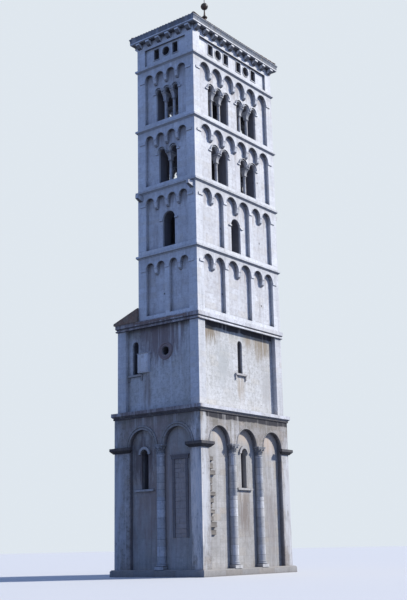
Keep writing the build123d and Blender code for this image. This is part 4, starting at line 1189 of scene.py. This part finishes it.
def tiled_slope(mesh, eave_half, top_half, slope_length, place):
    """Lays tiles on a slope that narrows from eave to top, cuts them at its hips and places them."""
    slope = bmesh.new()
    places = []
    columns_of_tiles = math.floor(eave_half * 2 / tile_spacing)
    for column in range(columns_of_tiles):
        x = (column - (columns_of_tiles - 1) / 2) * tile_spacing
        for course in range(math.ceil(slope_length / tile_step)):
            low = course * tile_step + tile_setback
            limit = eave_half + (top_half - eave_half) * low / slope_length
            if abs(x) < limit + 0.05:
                nudge = Matrix.Rotation(tile_chance.uniform(-0.02, 0.02), 4, "Z")
                rise = Matrix.Rotation(-tile_tip, 4, "X")
                sag = tile_chance.uniform(-0.006, 0.006)
                places.append(Matrix.Translation((x + sag, low + sag, tile_bed)) @ nudge @ rise)
    set_copies(slope, clay_tile(tile_radius, tile_length), places)
    for hand in (-1, 1):
        hip = Vector((hand * (top_half - eave_half), slope_length, 0))
        outward = Vector((hip.y, -hip.x, 0)).normalized() * (1 if hip.y * hand > 0 else -1)
        cut_off(slope, (hand * eave_half, 0, 0), outward)
    cut_off(slope, (0, slope_length, 0), (0, 1, 0))
    set_copies(mesh, slope, [place])


roof_foot_z = 34.78
roof_top_z = 37.0
roof_cap = 0.21
roof_half_x = 4.74
roof_half_y = 2.705
roof_middle_y = -0.885
roof_tiles = bmesh.new()
for side in all_sides:
    is_long = side in ("front", "back")
    eave_half = roof_half_x if is_long else roof_half_y
    run_in = (roof_half_y if is_long else roof_half_x) - roof_cap
    slope_angle = math.atan2(roof_top_z - roof_foot_z, run_in)
    slope_length = math.hypot(roof_top_z - roof_foot_z, run_in)
    edge = -(roof_half_y if is_long else roof_half_x)
    turn = {"front": 0, "right": 90, "back": 180, "left": 270}[side]
    place = Matrix.Translation((0, roof_middle_y, roof_foot_z))
    place = place @ Matrix.Rotation(math.radians(turn), 4, "Z")
    place = place @ Matrix.Translation((0, edge, 0)) @ Matrix.Rotation(slope_angle, 4, "X")
    tiled_slope(roof_tiles, eave_half, roof_cap, slope_length, place)
hip_tile_count = 15
hip_tile_radius = 0.115
hip_setback = 0.12
hip_bed = Vector((0, 0, 0.045))
for x_hand, y_hand in ((-1, -1), (1, -1), (1, 1), (-1, 1)):
    start = Vector((x_hand * roof_half_x, roof_middle_y + y_hand * roof_half_y, roof_foot_z))
    end = Vector((x_hand * roof_cap, roof_middle_y + y_hand * roof_cap, roof_top_z))
    hip = end - start
    flat = math.atan2(hip.y, hip.x) - math.pi / 2
    climb = math.asin(hip.z / hip.length)
    step = (hip.length - hip_setback - 0.02) / hip_tile_count
    places = []
    for i in range(hip_tile_count):
        spot = start + hip.normalized() * (i * step + hip_setback)
        lie = Matrix.Rotation(flat, 4, "Z") @ Matrix.Rotation(climb - tile_tip, 4, "X")
        places.append(Matrix.Translation(spot + hip_bed) @ lie)
    set_copies(roof_tiles, clay_tile(hip_tile_radius, step * 1.16), places)
roof_covering = make_piece("roof_tiles", roof_tiles, tile_clay)
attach(roof_covering, "root")

lean_to_tiles = bmesh.new()
lean_to_half = 4.6
lean_to_back = 3.45
lean_to_high = 16.2
lean_to_low = 15.48
lean_run = lean_to_back - shaft_back
lean_angle = math.atan2(lean_to_high - lean_to_low, lean_run)
lean_length = math.hypot(lean_to_high - lean_to_low, lean_run)
lean_place = Matrix.Translation((0, lean_to_back, lean_to_low)) @ Matrix.Rotation(math.pi, 4, "Z")
lean_place = lean_place @ Matrix.Rotation(lean_angle, 4, "X")
tiled_slope(lean_to_tiles, lean_to_half, lean_to_half, lean_length, lean_place)
lean_to_covering = make_piece("lean_to_tiles", lean_to_tiles, tile_clay)
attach(lean_to_covering, "root")


# Finial: a wrought iron and sheet metal spike, turned smooth, with a ball and a thin rod.
# The paint has gone, and it has rusted nearly black.
old_iron, iron_tree, iron_inputs = new_finish("old_iron")
wear = use_group(iron_tree, weather)
rust = fade(iron_tree, cloud(iron_tree, (6, 6, 3), 5, 0.65), 0.42, 0.62)
iron_colour = coat(iron_tree, rust, (0.035, 0.038, 0.045), (0.10, 0.055, 0.035))
iron_colour = wash(iron_tree, iron_colour, wear["Grain"], 0.4, (0.05, 0.05, 0.05))
iron_rough = reckon(iron_tree, "MULTIPLY_ADD", rust, 0.3, 0.42)
feed(iron_tree, iron_inputs["Metallic"], reckon(iron_tree, "MULTIPLY_ADD", rust, -0.6, 0.7))
dress(iron_tree, iron_inputs, iron_colour, iron_rough, wear["Grain"], 0.3, 0.003)
ball_z = 1.4
ball_radius = 0.255
ball_angles = [math.radians(degrees) for degrees in range(-75, 76, 10)]
ball = [(ball_radius * math.cos(a), ball_z + ball_radius * math.sin(a)) for a in ball_angles]
finial_profile = (
    (0, 0), (0.19, 0), (0.19, 0.1), (0.178, 0.125), (0.15, 0.16), (0.128, 0.3), (0.12, 0.46),
    (0.15, 0.475), (0.19, 0.51), (0.2, 0.545), (0.19, 0.575), (0.12, 0.62), (0.075, 0.7), (0.06, 0.8),
    (0.05, 0.95), (0.045, 1.1), *ball, (0.034, ball_z + 0.26), (0.028, ball_z + 0.3), (0.024, 2.3),
    (0.01, 2.63), (0, 2.65),
)
spike = turned(finial_profile, 32)
bmesh.ops.translate(spike, vec=(0, roof_middle_y, roof_top_z), verts=spike.verts)
finial_spike = make_piece("finial_spike", spike, old_iron)
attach(finial_spike, "root")
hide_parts("finial")
